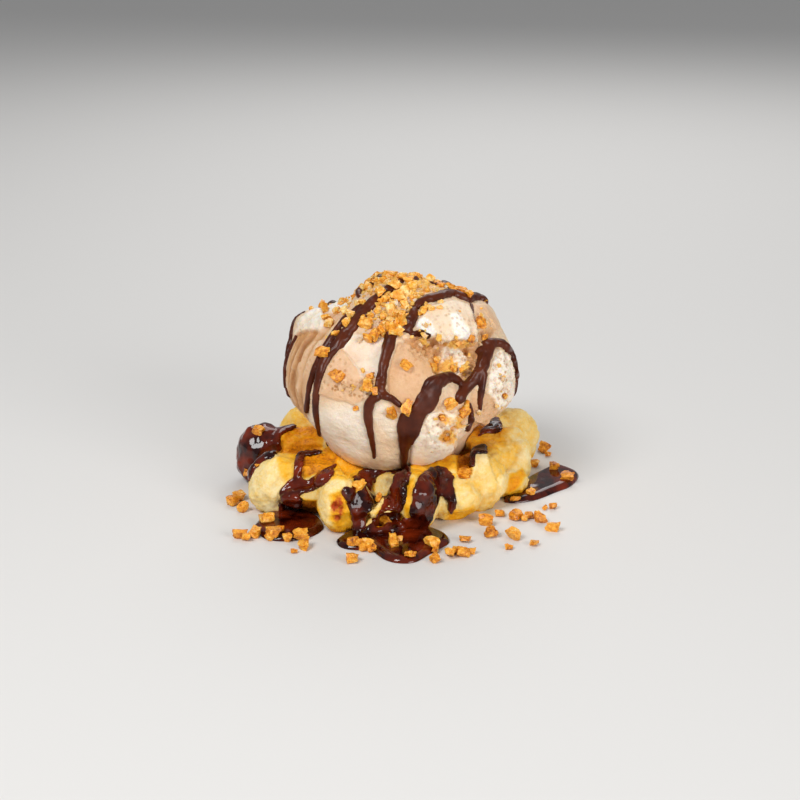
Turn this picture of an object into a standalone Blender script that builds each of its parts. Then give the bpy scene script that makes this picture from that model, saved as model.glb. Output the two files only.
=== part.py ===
# Small Belgian waffle with one large scoop of ripple ice cream, chocolate sauce and toffee chips.
# Metres, +Z up. The origin lies under the middle of the waffle, on the plane that it rests on,
# and the front of the dessert faces -Y.

import math
import random

import bmesh
import bpy
from mathutils import Matrix, Vector, noise
from mathutils.bvhtree import BVHTree

MM = 0.001

# Waffle: ridges that cross in a grid, joined half way up by a thin web.
WAFFLE_HEIGHT = 16.2 * MM
WAFFLE_SETTLE = 0.7 * MM  # what is cut off below, so that the ridges rest on flat faces
RIDGE_WIDTH = 12.0 * MM
RIDGE_ROUNDING = 3.6 * MM
WEB_LOW = 4.8 * MM
WEB_HIGH = 9.6 * MM
WEB_RADIUS = 37.0 * MM
BAKED_UNEVENNESS = 0.9 * MM
UNEVENNESS_SIZE = 11.0 * MM
WAFFLE_VOXEL = 1.15 * MM
WAFFLE_TRIANGLES = 2100
# Each ridge runs from one lobe's middle to the other's, in millimetres.
RIDGES = {
    "left_front": ((-33.5, -21.0), (25.0, -21.5)),
    "left_middle": ((-37.5, 2.5), (33.5, 0.0)),
    "left_back": ((-26.5, 22.5), (37.5, 18.5)),
    "front_left": ((-14.3, -33.0), (-14.0, 36.0)),
    "front_right": ((7.2, -33.0), (12.5, 37.5)),
    "right": ((26.5, -17.5), (30.5, 23.0)),
}
# Rounded ends of the ridges: middle across and back, half width, half depth, in millimetres.
LOBES = {
    "left_front_end": (-33.2, -21.0, 7.8, 7.6),
    "left_middle_end": (-37.6, 3.0, 7.8, 7.6),
    "left_back_end": (-26.5, 22.5, 7.6, 7.6),
    "front_left_end": (-14.3, -37.2, 5.4, 6.4),
    "front_right_end": (6.7, -34.8, 7.1, 7.6),
    "arm_end": (26.0, -18.0, 7.6, 7.6),
    "right_end": (34.5, 0.5, 8.0, 9.0),
    "right_back_end": (37.5, 19.0, 8.2, 8.0),
    "corner_end": (31.0, 24.5, 7.6, 7.6),
    "back_left_end": (-14.0, 36.0, 8.2, 8.2),
    "back_right_end": (12.5, 37.5, 8.2, 8.2),
}
# Places where the batter ran past the ridges: middle, half sizes, in millimetres.
BATTER_SPILLS = {
    "between_front_lobes": ((-3.0, -31.0, 7.2), (13.0, 10.5, 2.4)),
    "left_front_corner": ((-23.0, -27.0, 7.2), (8.0, 6.0, 2.2)),
    "right_front_corner": ((18.0, -27.0, 6.6), (8.5, 7.0, 6.4)),
    "right_rim": ((34.0, -8.0, 4.2), (7.0, 7.5, 4.0)),
}
CRATER = ((-13.6, -44.0, 8.0), (3.2, 3.2, 4.4))  # burst bubble in the front left lobe

# Scoop: a flattened ball that is pressed into the middle of the waffle.
SCOOP_MIDDLE = Vector((2.6, 0.0, 33.3)) * MM
SCOOP_HALF = Vector((33.6, 33.0, 27.0)) * MM
SCOOP_FOOT = 10.2 * MM
SCOOP_SEAT_TOP = 17.0 * MM
SEAT_GAP = 0.65 * MM
SCOOP_TRIANGLES = 1500

# The front of the scoop and its sauce are laid out as seen from one point in front of the dessert:
# picture places are across and down, on a square picture of 800 units a side.
PICTURE_MIDDLE = 400.0
SIGHT_LENGTH = 1889.0
EYE = Vector((3.0, -529.1, 203.1)) * MM
LOOK_DOWN = math.radians(18.51)
UNIT = 0.285 * MM  # real size of one picture unit on the front of the scoop

# Bulges and hollows of the scoop: across, down, half width, half height in picture units, lift in mm.
SCOOP_FORMS = {
    "crest": (408, 290, 52, 22, 2.6),
    "crest_right_dip": (452, 284, 24, 14, -1.2),
    "upper_dome": (450, 322, 34, 22, 2.4),
    "right_lobe": (500, 368, 22, 44, 2.0),
    "left_knob": (302, 322, 20, 16, 2.6),
    "shoulder_dip": (336, 304, 18, 16, -3.6),
    "cream_facet": (366, 352, 26, 20, -1.2),
    "left_cheek": (330, 395, 34, 42, 0.9),
    "middle_facet": (412, 374, 24, 28, 1.8),
    "broken_hollow": (452, 358, 24, 20, -3.4),
    "deep_crack": (466, 378, 10, 16, -2.6),
    "lower_chunk": (434, 436, 24, 26, 1.4),
    "right_undercut": (492, 428, 30, 26, -4.6),
    "left_undercut": (298, 430, 30, 34, -3.6),
}
# The same from behind, where the scoop was rolled off the tub.
SCOOP_FORMS_BEHIND = {
    "back_fold": (350, 340, 60, 18, 2.0),
    "back_groove": (405, 372, 70, 11, -2.2),
    "back_cheek": (450, 405, 50, 26, 1.4),
    "back_pit": (330, 400, 18, 20, -2.4),
}
ROLL_GROOVES = (196.0, 207.0, 219.0, 233.0)  # degrees round the scoop, on its left side
ROLL_GROOVE_DEPTH = 1.0 * MM
ROLL_GROOVE_WIDTH = 4.0  # degrees
SCOOP_GRAIN = 0.45 * MM
SCOOP_GRAIN_SIZE = 5.0 * MM

# Sauce threads: across, down, half width, all in picture units, from the top of the thread down.
SAUCE_HEIGHT = 1.15 * MM
THREAD_STEP = 13.0  # picture units from one section of a thread to the next
SCOOP_THREADS = {
    "left_outer": ((306, 311, 2.2), (295, 319, 3), (288, 331, 3.6), (285, 345, 3.6), (284, 359, 2.6)),
    "left_edge": ((297, 335, 2.6), (290, 350, 3), (286, 364, 3), (285, 382, 2.6), (288, 398, 3.6)),
    "left_pair_outer": (
        (366, 304, 4), (345, 321, 4.5), (330, 341, 4.5), (318, 360, 4.5), (310, 384, 4), (307, 413, 4),
    ),
    "left_pair_inner": (
        (397, 285, 5), (376, 300, 6), (352, 326, 6.5), (336, 347, 6), (324, 362, 5.5),
        (317, 386, 4.5), (315, 412, 4), (319, 432, 3.5), (326, 450, 3.8),
    ),
    "crest_hook": ((366, 284, 4), (360, 288, 4.5), (357, 296, 3)),
    "middle": ((393, 339, 7.5), (387, 356, 6.5), (383, 376, 5.5), (381, 396, 5.5)),
    "middle_left_leg": ((379, 398, 5), (370, 405, 4.6), (368, 419, 4.4), (371, 441, 3.2), (374, 458, 2.6)),
    "middle_right_leg": ((384, 394, 4.5), (394, 401, 3.6), (403, 408, 3)),
    "broad": (
        (460, 384, 4.5), (447, 378, 6), (434, 387, 11), (424, 402, 12.5), (412, 420, 12.5),
        (406, 440, 8.5), (404, 456, 4.5), (404, 469, 3.6),
    ),
    "top_band": ((485, 303, 5.5), (474, 298, 6.5), (458, 295, 6), (440, 298, 6), (422, 301, 5.5), (413, 312, 5)),
    "top_band_drop": ((414, 308, 5.5), (411, 320, 6), (406, 328, 6.5), (412, 334, 5)),
    "top_band_tail": ((414, 334, 2.6), (425, 336, 2.2), (436, 340, 1.8)),
    "right_arch_left": (
        (503, 344, 6), (494, 340, 7), (486, 352, 9), (483, 366, 8.5), (474, 381, 6.5), (462, 394, 6), (461, 405, 5),
    ),
    "right_arch_branch": ((484, 372, 5.5), (482, 390, 4.6), (480, 411, 3)),
    "right_arch_right": ((498, 342, 6), (507, 353, 5), (514, 369, 4.4), (517, 385, 4.4), (516, 399, 4)),
    "short_drip": ((470, 402, 2.6), (471, 418, 3.2), (467, 431, 3.8)),
}
SCOOP_THREADS_BEHIND = {
    "behind_long": ((420, 288, 5), (405, 305, 6), (392, 330, 6.5), (384, 360, 6), (380, 395, 5), (378, 430, 4)),
    "behind_broad": ((360, 292, 5), (348, 312, 8), (340, 338, 9), (334, 366, 7), (331, 392, 5), (330, 412, 4)),
    "behind_right": ((452, 296, 5), (464, 318, 6), (472, 345, 6), (476, 372, 5), (478, 400, 4)),
    "behind_drip": ((430, 330, 5), (434, 356, 5.5), (437, 384, 4.5), (438, 408, 3.6)),
    "behind_left": ((318, 320, 4), (308, 342, 5), (302, 366, 4.5), (301, 388, 3.8)),
}

# Sauce coats on the waffle: their outlines as seen, in picture units, and how far back they reach, in mm.
COAT_HEIGHT = 0.9 * MM
COAT_FOOT = 2.3 * MM  # the coats end above the pools
COATS = {
    "left_middle_cap": (
        (-30.0, 20.0),
        ((262, 429), (278, 425), (299, 426), (312, 430), (297, 435), (283, 441), (277, 451), (271, 459),
         (257, 462), (253, 474), (246, 483), (236, 472), (236, 454), (244, 442), (252, 433)),
    ),
    "left_strand": (
        (-32.0, 8.0),
        ((297, 451), (319, 449), (319, 455), (304, 458), (302, 468), (304, 481), (297, 484), (297, 468)),
    ),
    "left_pocket": (
        (-36.0, -8.0),
        ((280, 489), (290, 485), (303, 479), (318, 475), (334, 471), (331, 480), (312, 489), (304, 496),
         (301, 512), (290, 514), (286, 499), (280, 496)),
    ),
    "front_pocket": (
        (-48.0, -22.0),
        ((341, 491), (352, 484), (365, 479), (376, 471), (411, 471), (416, 482), (411, 499), (408, 514),
         (378, 514), (367, 518), (359, 533), (352, 529), (352, 514), (348, 502)),
    ),
    "front_right_cap": (
        (-48.0, -18.0),
        ((413, 484), (420, 475), (435, 468), (452, 470), (461, 484), (466, 500), (460, 507), (453, 500),
         (447, 508), (437, 503), (434, 514), (429, 529), (417, 528), (408, 514), (409, 499)),
    ),
    "arm_streak": (
        (-30.0, -6.0),
        ((469, 459), (475, 450), (487, 445), (486, 452), (478, 458), (475, 468), (470, 466)),
    ),
    "right_back_dab": (
        (-10.0, 14.0),
        ((480, 431), (492, 419), (501, 427), (490, 435)),
    ),
}

# Sauce pools on the resting plane: outlines as seen, in picture units.
POOL_HEIGHT = 1.7 * MM
POOL_ROUNDING = 0.6 * MM
POOLS = {
    "sauce_pool_front": (
        (337, 538), (341, 547), (359, 552), (376, 554), (386, 560), (400, 562), (422, 558),
        (437, 549), (449, 538), (438, 530), (418, 524), (392, 519), (366, 524), (348, 532),
    ),
    "sauce_pool_left": (
        (258, 522), (268, 531), (285, 536), (304, 537), (319, 533), (324, 526), (318, 518),
        (298, 509), (276, 509), (262, 514),
    ),
    "sauce_pool_right": (
        (503, 502), (517, 501), (545, 492), (564, 484), (578, 476), (576, 469), (563, 463),
        (545, 470), (522, 483), (506, 491),
    ),
}
POOL_GAP = 0.35 * MM

# Toffee chips: across, down and size in picture units, where one lies apart from the crest's crowd.
SCOOP_CHIPS = (
    (325, 313, 12), (323, 351, 13), (340, 376, 13), (344, 299, 9), (351, 315, 9), (336, 335, 8),
    (368, 325, 11), (378, 333, 12), (386, 330, 11), (394, 333, 10), (398, 325, 9), (375, 342, 8),
    (424, 310, 11), (406, 364, 12), (374, 380, 11), (431, 360, 9), (437, 370, 9), (408, 407, 14),
    (392, 414, 14), (449, 404, 13), (463, 412, 13), (443, 418, 8), (445, 437, 11), (457, 430, 9),
    (477, 324, 12), (496, 330, 8), (452, 366, 9), (462, 290, 13), (470, 296, 11), (333, 325, 10),
)
SCOOP_CHIPS_BEHIND = (
    (350, 330, 12), (412, 345, 12), (446, 318, 11), (322, 362, 10), (396, 410, 12), (460, 392, 10), (372, 378, 9),
)
CREST_CHIPS = 32
CREST_MIDDLE = (401, 284)  # picture place of the middle of the crowd of chips on top
CREST_SPREAD = Vector((13.5, 12.0)) * MM
WAFFLE_CHIPS = ((259, 435, 12), (250, 470, 10), (357, 489, 12), (386, 524, 11), (468, 474, 12))
POOL_CHIPS = {
    "sauce_pool_front": ((352, 544, 11), (365, 545, 12), (394, 543, 12), (410, 556, 10), (431, 545, 12)),
    "sauce_pool_left": ((268, 520, 13), (288, 531, 10), (301, 532, 9), (276, 529, 11)),
    "sauce_pool_right": ((556, 470, 11), (568, 477, 11), (531, 493, 8)),
}
CHIP_FLATNESS = 0.8
CHIP_SINK = 0.28
CHIP_LOWEST = 0.5 * MM

random.seed(11)


def picture_axes():
    forward = Vector((0.0, math.cos(LOOK_DOWN), -math.sin(LOOK_DOWN)))
    right = Vector((1.0, 0.0, 0.0))
    return forward, right, right.cross(forward)


def sight_line(across, down, behind=False):
    """Start and direction of the sight line through a picture place, from the front or mirrored behind."""
    forward, right, up = picture_axes()
    line = forward * SIGHT_LENGTH + right * (across - PICTURE_MIDDLE) + up * (PICTURE_MIDDLE - down)
    start = EYE.copy()
    if behind:
        half_turn = Matrix.Rotation(math.pi, 3, "Z")
        line = half_turn @ line
        start = half_turn @ (start - SCOOP_MIDDLE) + SCOOP_MIDDLE
    return start, line.normalized()


def point_seen(surface, across, down, behind=False):
    """Point and normal of the surface at a picture place, or the nearest ones where the line misses it."""
    start, line = sight_line(across, down, behind)
    point, normal, _, _ = surface.ray_cast(start, line)
    if point is None:
        closest = start + line * (SCOOP_MIDDLE - start).dot(line)
        point, normal, _, _ = surface.find_nearest(closest)
    return point, normal


def surface_of(obj):
    graph = bpy.context.evaluated_depsgraph_get()
    return BVHTree.FromObject(obj, graph)


def new_collection(name, hidden=False):
    collection = bpy.data.collections.new(name)
    bpy.context.scene.collection.children.link(collection)
    collection.hide_render = hidden
    return collection


def clear_scene():
    for obj in list(bpy.data.objects):
        bpy.data.objects.remove(obj)


def material(name, colour, roughness):
    made = bpy.data.materials.new(name)
    made.use_nodes = True
    shader = made.node_tree.nodes["Principled BSDF"]
    shader.inputs["Base Color"].default_value = (*colour, 1.0)
    shader.inputs["Roughness"].default_value = roughness
    made.diffuse_color = (*colour, 1.0)
    return made


def mesh_object(name, mesh, collection):
    obj = bpy.data.objects.new(name, mesh)
    collection.objects.link(obj)
    return obj


def move_to(obj, collection):
    for holder in list(obj.users_collection):
        holder.objects.unlink(obj)
    collection.objects.link(obj)


def apply_modifiers(obj):
    """Makes the evaluated mesh the object's own mesh."""
    graph = bpy.context.evaluated_depsgraph_get()
    mesh = bpy.data.meshes.new_from_object(obj.evaluated_get(graph))
    obj.modifiers.clear()
    obj.data = mesh


def join_all(objects):
    """One mesh, in world space, of several objects, which are then removed."""
    joined = bmesh.new()
    graph = bpy.context.evaluated_depsgraph_get()
    for obj in objects:
        mesh = bpy.data.meshes.new_from_object(obj.evaluated_get(graph))
        mesh.transform(obj.matrix_world)
        joined.from_mesh(mesh)
        bpy.data.meshes.remove(mesh)
    for obj in objects:
        bpy.data.objects.remove(obj)
    mesh = bpy.data.meshes.new("joined")
    joined.to_mesh(mesh)
    joined.free()
    return mesh


def keep_largest_body(obj):
    """Drops scraps and sealed hollows that a Boolean leaves, so that the solid is one closed body."""
    cleaned = bmesh.new()
    cleaned.from_mesh(obj.data)
    bmesh.ops.triangulate(cleaned, faces=cleaned.faces)
    left = set(cleaned.faces)
    bodies = []
    while left:
        body = [left.pop()]
        for face in body:
            for edge in face.edges:
                if len(edge.link_faces) == 2:
                    fresh = [other for other in edge.link_faces if other in left]
                    left.difference_update(fresh)
                    body.extend(fresh)
        bodies.append(body)
    bodies.sort(key=len)
    scraps = [face for body in bodies[:-1] for face in body]
    bmesh.ops.delete(cleaned, geom=scraps, context="FACES")
    cleaned.to_mesh(obj.data)
    cleaned.free()


def boolean(obj, operation, other=None, collection=None):
    cut = obj.modifiers.new(operation.lower(), "BOOLEAN")
    cut.operation = operation
    cut.solver = "MANIFOLD"
    if collection:
        cut.operand_type = "COLLECTION"
        cut.collection = collection
    else:
        cut.object = other
    bpy.context.view_layer.update()
    apply_modifiers(obj)
    bpy.context.view_layer.update()


def triangles_in(obj):
    obj.data.calc_loop_triangles()
    return len(obj.data.loop_triangles)


def decimate(obj, triangles):
    obj.modifiers.new("triangles", "TRIANGULATE")
    fewer = obj.modifiers.new("fewer", "DECIMATE")
    fewer.ratio = min(1.0, triangles / triangles_in(obj))
    apply_modifiers(obj)


# Waffle


def rounded_bar(name, start, end, collection):
    """One ridge: a bar as high as the waffle, with its long edges rounded."""
    start = Vector((*start, 0.0)) * MM
    end = Vector((*end, 0.0)) * MM
    run = end - start
    bpy.ops.mesh.primitive_cube_add(size=1.0)
    bar = bpy.context.object
    bar.name = name
    bar.data.transform(Matrix.Diagonal((run.length, RIDGE_WIDTH, WAFFLE_HEIGHT, 1.0)))
    bar.location = (start + end) / 2 + Vector((0.0, 0.0, WAFFLE_HEIGHT / 2))
    bar.rotation_euler.z = math.atan2(run.y, run.x)
    bevel = bar.modifiers.new("rounding", "BEVEL")
    bevel.width = RIDGE_ROUNDING
    bevel.segments = 3
    move_to(bar, collection)
    return bar


def blob(name, middle, half, collection):
    bpy.ops.mesh.primitive_uv_sphere_add(segments=24, ring_count=14, radius=1.0)
    ball = bpy.context.object
    ball.name = name
    ball.data.transform(Matrix.Diagonal((*half, 1.0)))
    ball.location = middle
    move_to(ball, collection)
    return ball


def web(collection):
    bpy.ops.mesh.primitive_cylinder_add(vertices=48, radius=WEB_RADIUS, depth=WEB_HIGH - WEB_LOW)
    disc = bpy.context.object
    disc.name = "web"
    disc.location.z = (WEB_LOW + WEB_HIGH) / 2
    move_to(disc, collection)
    return disc


def waffle_pieces(collection):
    """The ridges, their end lobes, the web and the spills, before they are baked into one."""
    pieces = [web(collection)]
    for name, ends in RIDGES.items():
        pieces.append(rounded_bar(name, *ends, collection))
    for name, (across, back, half_width, half_depth) in LOBES.items():
        middle = Vector((across * MM, back * MM, WAFFLE_HEIGHT / 2))
        half = Vector((half_width * MM, half_depth * MM, WAFFLE_HEIGHT / 2 + 1.0 * MM))
        pieces.append(blob(name, middle, half, collection))
    for name, (middle, half) in BATTER_SPILLS.items():
        pieces.append(blob(name, Vector(middle) * MM, Vector(half) * MM, collection))
    return pieces


def make_unevenness(mesh):
    """Moves every point a little along its normal, by smooth noise."""
    moves = []
    for vert in mesh.vertices:
        shift = noise.noise(vert.co / UNEVENNESS_SIZE) * BAKED_UNEVENNESS
        moves.append(vert.co + vert.normal * shift)
    for vert, place in zip(mesh.vertices, moves):
        vert.co = place


def block_below(name, level, collection):
    """Block whose top lies at a level, to cut away what is lower."""
    bpy.ops.mesh.primitive_cube_add(size=1.0)
    block = bpy.context.object
    block.name = name
    block.data.transform(Matrix.Diagonal((0.2, 0.2, 0.05, 1.0)))
    block.location.z = level - 0.025
    move_to(block, collection)
    return block


def seat_cutter(collection):
    """The scoop's smooth underside, grown by the gap that the two keep."""
    grow = Vector((SEAT_GAP, SEAT_GAP, SEAT_GAP))
    bpy.ops.mesh.primitive_uv_sphere_add(segments=32, ring_count=20, radius=1.0)
    ball = bpy.context.object
    ball.name = "scoop_seat"
    ball.data.transform(Matrix.Diagonal((*(SCOOP_HALF + grow), 1.0)))
    ball.data.transform(Matrix.Translation(SCOOP_MIDDLE))
    for vert in ball.data.vertices:
        vert.co.z = max(vert.co.z, SCOOP_FOOT - SEAT_GAP)
    move_to(ball, collection)
    return ball


def bare_waffle(name, cutters, grown=0.0):
    """The waffle with no topping: its pieces fused, softened and set on the floor."""
    mesh = join_all(waffle_pieces(cutters))
    waffle = mesh_object(name, mesh, cutters)
    fuse = waffle.modifiers.new("fuse", "REMESH")
    fuse.mode = "VOXEL"
    fuse.voxel_size = WAFFLE_VOXEL
    soften = waffle.modifiers.new("soften", "SMOOTH")
    soften.factor = 0.5
    soften.iterations = 7
    apply_modifiers(waffle)
    make_unevenness(waffle.data)
    waffle.data.transform(Matrix.Translation((0.0, 0.0, -WAFFLE_SETTLE)))
    if grown:
        for vert in waffle.data.vertices:
            vert.co += vert.normal * grown
    decimate(waffle, WAFFLE_TRIANGLES)
    return waffle


# Ice cream


def scoop_lift(places, point, normal_side):
    """Sum of the bulges and hollows at a point of the bare ball."""
    lift = 0.0
    for middle, across, upward, half_across, half_upward, height in places:
        offset = point - middle
        side = offset.dot(across) / half_across
        rise = offset.dot(upward) / half_upward
        depth = offset.dot(across.cross(upward)) / (1.3 * max(half_across, half_upward))
        lift += height * math.exp(-(side * side + rise * rise + depth * depth))
    return lift


def form_places(ball_surface):
    """Each form of the scoop as a place on the bare ball with its own axes and sizes."""
    places = []
    _, right, up = picture_axes()
    for forms, behind in ((SCOOP_FORMS, False), (SCOOP_FORMS_BEHIND, True)):
        turn = Matrix.Rotation(math.pi if behind else 0.0, 3, "Z")
        for across, down, half_width, half_height, lift in forms.values():
            middle, _ = point_seen(ball_surface, across, down, behind)
            places.append((middle, turn @ right, turn @ up, half_width * UNIT, half_height * UNIT, lift * MM))
    return places


def roll_groove(point):
    """Depth of the curved layer lines on the left side, where the scoop was rolled."""
    offset = point - SCOOP_MIDDLE
    angle = math.degrees(math.atan2(offset.y, offset.x)) % 360.0
    reach = max(0.0, 1.0 - abs(offset.z / SCOOP_HALF.z) ** 3)
    depth = 0.0
    for groove in ROLL_GROOVES:
        depth += math.exp(-(((angle - groove) / ROLL_GROOVE_WIDTH) ** 2))
    return -ROLL_GROOVE_DEPTH * depth * reach


def bare_scoop(collection):
    bpy.ops.mesh.primitive_ico_sphere_add(subdivisions=6, radius=1.0)
    scoop = bpy.context.object
    scoop.name = "ice_cream"
    scoop.data.name = "ice_cream"
    scoop.data.transform(Matrix.Diagonal((*SCOOP_HALF, 1.0)))
    scoop.data.transform(Matrix.Translation(SCOOP_MIDDLE))
    move_to(scoop, collection)
    places = form_places(surface_of(scoop))
    for vert in scoop.data.vertices:
        outward = (vert.co - SCOOP_MIDDLE).normalized()
        lift = scoop_lift(places, vert.co, outward) + roll_groove(vert.co)
        lift += noise.noise(vert.co / SCOOP_GRAIN_SIZE) * SCOOP_GRAIN
        above_seat = (vert.co.z - SCOOP_SEAT_TOP) / (4.0 * MM)
        vert.co += outward * lift * min(1.0, max(0.0, above_seat))
        vert.co.z = max(vert.co.z, SCOOP_FOOT)
    decimate(scoop, SCOOP_TRIANGLES)
    return scoop


# Sauce


def place_at(across, down, axis, level):
    """Where the sight line through a picture place meets the plane on which one coordinate has this level."""
    start, line = sight_line(across, down)
    return start + line * ((level - start[axis]) / line[axis])


def coat(name, grown, reach, outline, collection):
    """A coat of sauce on the waffle: the part of the thicker waffle that lies inside an outline as seen."""
    near, far = (level * MM for level in reach)
    sides = [[place_at(*spot, 1, level) for spot in outline] for level in (near, far)]
    made = bmesh.new()
    rings = [[made.verts.new(place) for place in ring] for ring in sides]
    count = len(outline)
    made.faces.new(rings[0])
    made.faces.new(rings[1][::-1])
    for i in range(count):
        k = (i + 1) % count
        made.faces.new((rings[0][k], rings[0][i], rings[1][i], rings[1][k]))
    bmesh.ops.recalc_face_normals(made, faces=made.faces)
    mesh = bpy.data.meshes.new(name)
    made.to_mesh(mesh)
    made.free()
    patch = mesh_object(name, mesh, collection)
    boolean(patch, "INTERSECT", grown)
    return patch


def smooth_path(points, steps):
    """Points of a Catmull-Rom curve through the given ones."""
    padded = [points[0], *points, points[-1]]
    made = []
    for i in range(1, len(padded) - 2):
        before, start, end, after = (Vector(p) for p in padded[i - 1 : i + 3])
        for step in range(steps):
            t = step / steps
            made.append(
                0.5
                * (
                    2 * start
                    + (end - before) * t
                    + (2 * before - 5 * start + 4 * end - after) * t * t
                    + (3 * start - before - 3 * end + after) * t**3
                )
            )
    made.append(Vector(points[-1]))
    return made


def even_path(path, step):
    """The same path with its points about one step apart."""
    runs = [0.0]
    for start, end in zip(path, path[1:]):
        runs.append(runs[-1] + (end.xy - start.xy).length)
    count = max(2, round(runs[-1] / step))
    made = []
    spot = 0
    for number in range(count + 1):
        run = runs[-1] * number / count
        while spot < len(path) - 2 and runs[spot + 1] < run:
            spot += 1
        share = (run - runs[spot]) / max(1e-9, runs[spot + 1] - runs[spot])
        made.append(path[spot].lerp(path[spot + 1], min(1.0, share)))
    return made


def thread(name, surface, points, collection, behind=False, height=SAUCE_HEIGHT):
    """A strip of thick sauce that lies on a surface: a low dome across, round at both ends, its foot sunk in."""
    path = even_path(smooth_path(points, 6), THREAD_STEP)
    places = [point_seen(surface, p.x, p.y, behind) for p in path]
    halves = [p.z * UNIT for p in path]
    across_shares = (-1.0, -0.45, 0.45, 1.0)
    rise_shares = (-0.4, 1.0, 1.0, -0.4)
    made = bmesh.new()
    rings = []
    last = len(places) - 1
    for i, ((place, normal), half) in enumerate(zip(places, halves)):
        along = places[min(i + 1, last)][0] - places[max(i - 1, 0)][0]
        side = normal.cross(along).normalized()
        end_share = 0.55 if i in (0, last) else 1.0
        rise = min(height, half * 0.9) * (0.6 if i in (0, last) else 1.0)
        ring = []
        for across, up in zip(across_shares, rise_shares):
            near, near_normal, _, _ = surface.find_nearest(place + side * half * across * end_share)
            ring.append(made.verts.new(near + near_normal * rise * up))
        ring.append(made.verts.new(place - normal * rise * 1.1))
        rings.append(ring)
    for ring, following in zip(rings, rings[1:]):
        for j in range(len(ring)):
            k = (j + 1) % len(ring)
            made.faces.new((ring[j], ring[k], following[k], following[j]))
    made.faces.new(rings[0][::-1])
    made.faces.new(rings[-1])
    bmesh.ops.recalc_face_normals(made, faces=made.faces)
    mesh = bpy.data.meshes.new(name)
    made.to_mesh(mesh)
    made.free()
    return mesh_object(name, mesh, collection)


# Toffee chips


def chip(name, place, normal, size, collection):
    """A broken cube of toffee, turned at random and sunk a little into what carries it."""
    made = bmesh.new()
    bmesh.ops.create_cube(made, size=1.0)
    for vert in made.verts:
        vert.co += Vector(random.uniform(-0.17, 0.17) for _ in range(3))
    mesh = bpy.data.meshes.new(name)
    made.to_mesh(mesh)
    made.free()
    stretch = Matrix.Diagonal((size, size * random.uniform(0.7, 1.0), size * CHIP_FLATNESS, 1.0))
    lean = Matrix.Rotation(random.uniform(-0.5, 0.5), 4, "X") @ Matrix.Rotation(random.uniform(0, 6.28), 4, "Z")
    upright = normal.to_track_quat("Z", "Y").to_matrix().to_4x4()
    lifted = place + normal * size * (0.5 * CHIP_FLATNESS - CHIP_SINK)
    mesh.transform(Matrix.Translation(lifted) @ upright @ lean @ stretch)
    for vert in mesh.vertices:
        vert.co.z = max(vert.co.z, CHIP_LOWEST)
    return mesh_object(name, mesh, collection)


def chips_seen(name, surface, places, collection, behind=False):
    for number, (across, down, size) in enumerate(places):
        place, normal = point_seen(surface, across, down, behind)
        chip(f"{name}_{number}", place, normal, size * UNIT * 0.8, collection)


def crest_chips(surface, collection):
    """The crowd of chips on top of the scoop, densest in the middle."""
    middle, _ = point_seen(surface, *CREST_MIDDLE)
    for number in range(CREST_CHIPS):
        reach = math.sqrt(random.random())
        angle = random.uniform(0.0, 2.0 * math.pi)
        above = middle + Vector(
            (reach * math.cos(angle) * CREST_SPREAD.x, reach * math.sin(angle) * CREST_SPREAD.y + 4.0 * MM, 30.0 * MM)
        )
        place, normal, _, _ = surface.ray_cast(above, Vector((0.0, 0.0, -1.0)))
        if place is not None:
            chip(f"crest_{number}", place, normal, random.uniform(2.0, 3.1) * MM, collection)


# Nodes


def dress(obj, topping):
    """Joins the sauce and the chips of a collection to what they lie on, then removes the collection's objects."""
    boolean(obj, "UNION", collection=topping)
    keep_largest_body(obj)
    for piece in list(topping.objects):
        bpy.data.objects.remove(piece)


def make_scoop(parts, toppings):
    scoop = bare_scoop(parts)
    surface = surface_of(scoop)
    for name, points in SCOOP_THREADS.items():
        thread(name, surface, points, toppings)
    for name, points in SCOOP_THREADS_BEHIND.items():
        thread(name, surface, points, toppings, behind=True)
    chips_seen("chip", surface, SCOOP_CHIPS, toppings)
    chips_seen("chip_behind", surface, SCOOP_CHIPS_BEHIND, toppings, behind=True)
    crest_chips(surface, toppings)
    dress(scoop, toppings)
    return scoop


def make_waffle(parts, cutters, toppings):
    waffle = bare_waffle("waffle", cutters)
    grown = mesh_object("coated_waffle", waffle.data.copy(), cutters)
    for vert in grown.data.vertices:
        vert.co += vert.normal * COAT_HEIGHT
    boolean(grown, "DIFFERENCE", block_below("under_coats", COAT_FOOT, cutters))
    surface = surface_of(waffle)
    move_to(waffle, parts)
    for name, (reach, outline) in COATS.items():
        coat(name, grown, reach, outline, toppings)
    chips_seen("chip_low", surface, WAFFLE_CHIPS, toppings)
    dress(waffle, toppings)
    hollows = new_collection("hollows", hidden=True)
    middle, half = CRATER
    blob("crater", Vector(middle) * MM, Vector(half) * MM, hollows)
    block_below("under_floor", 0.0, hollows)
    seat_cutter(hollows)
    boolean(waffle, "DIFFERENCE", collection=hollows)
    keep_largest_body(waffle)
    return waffle


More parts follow.
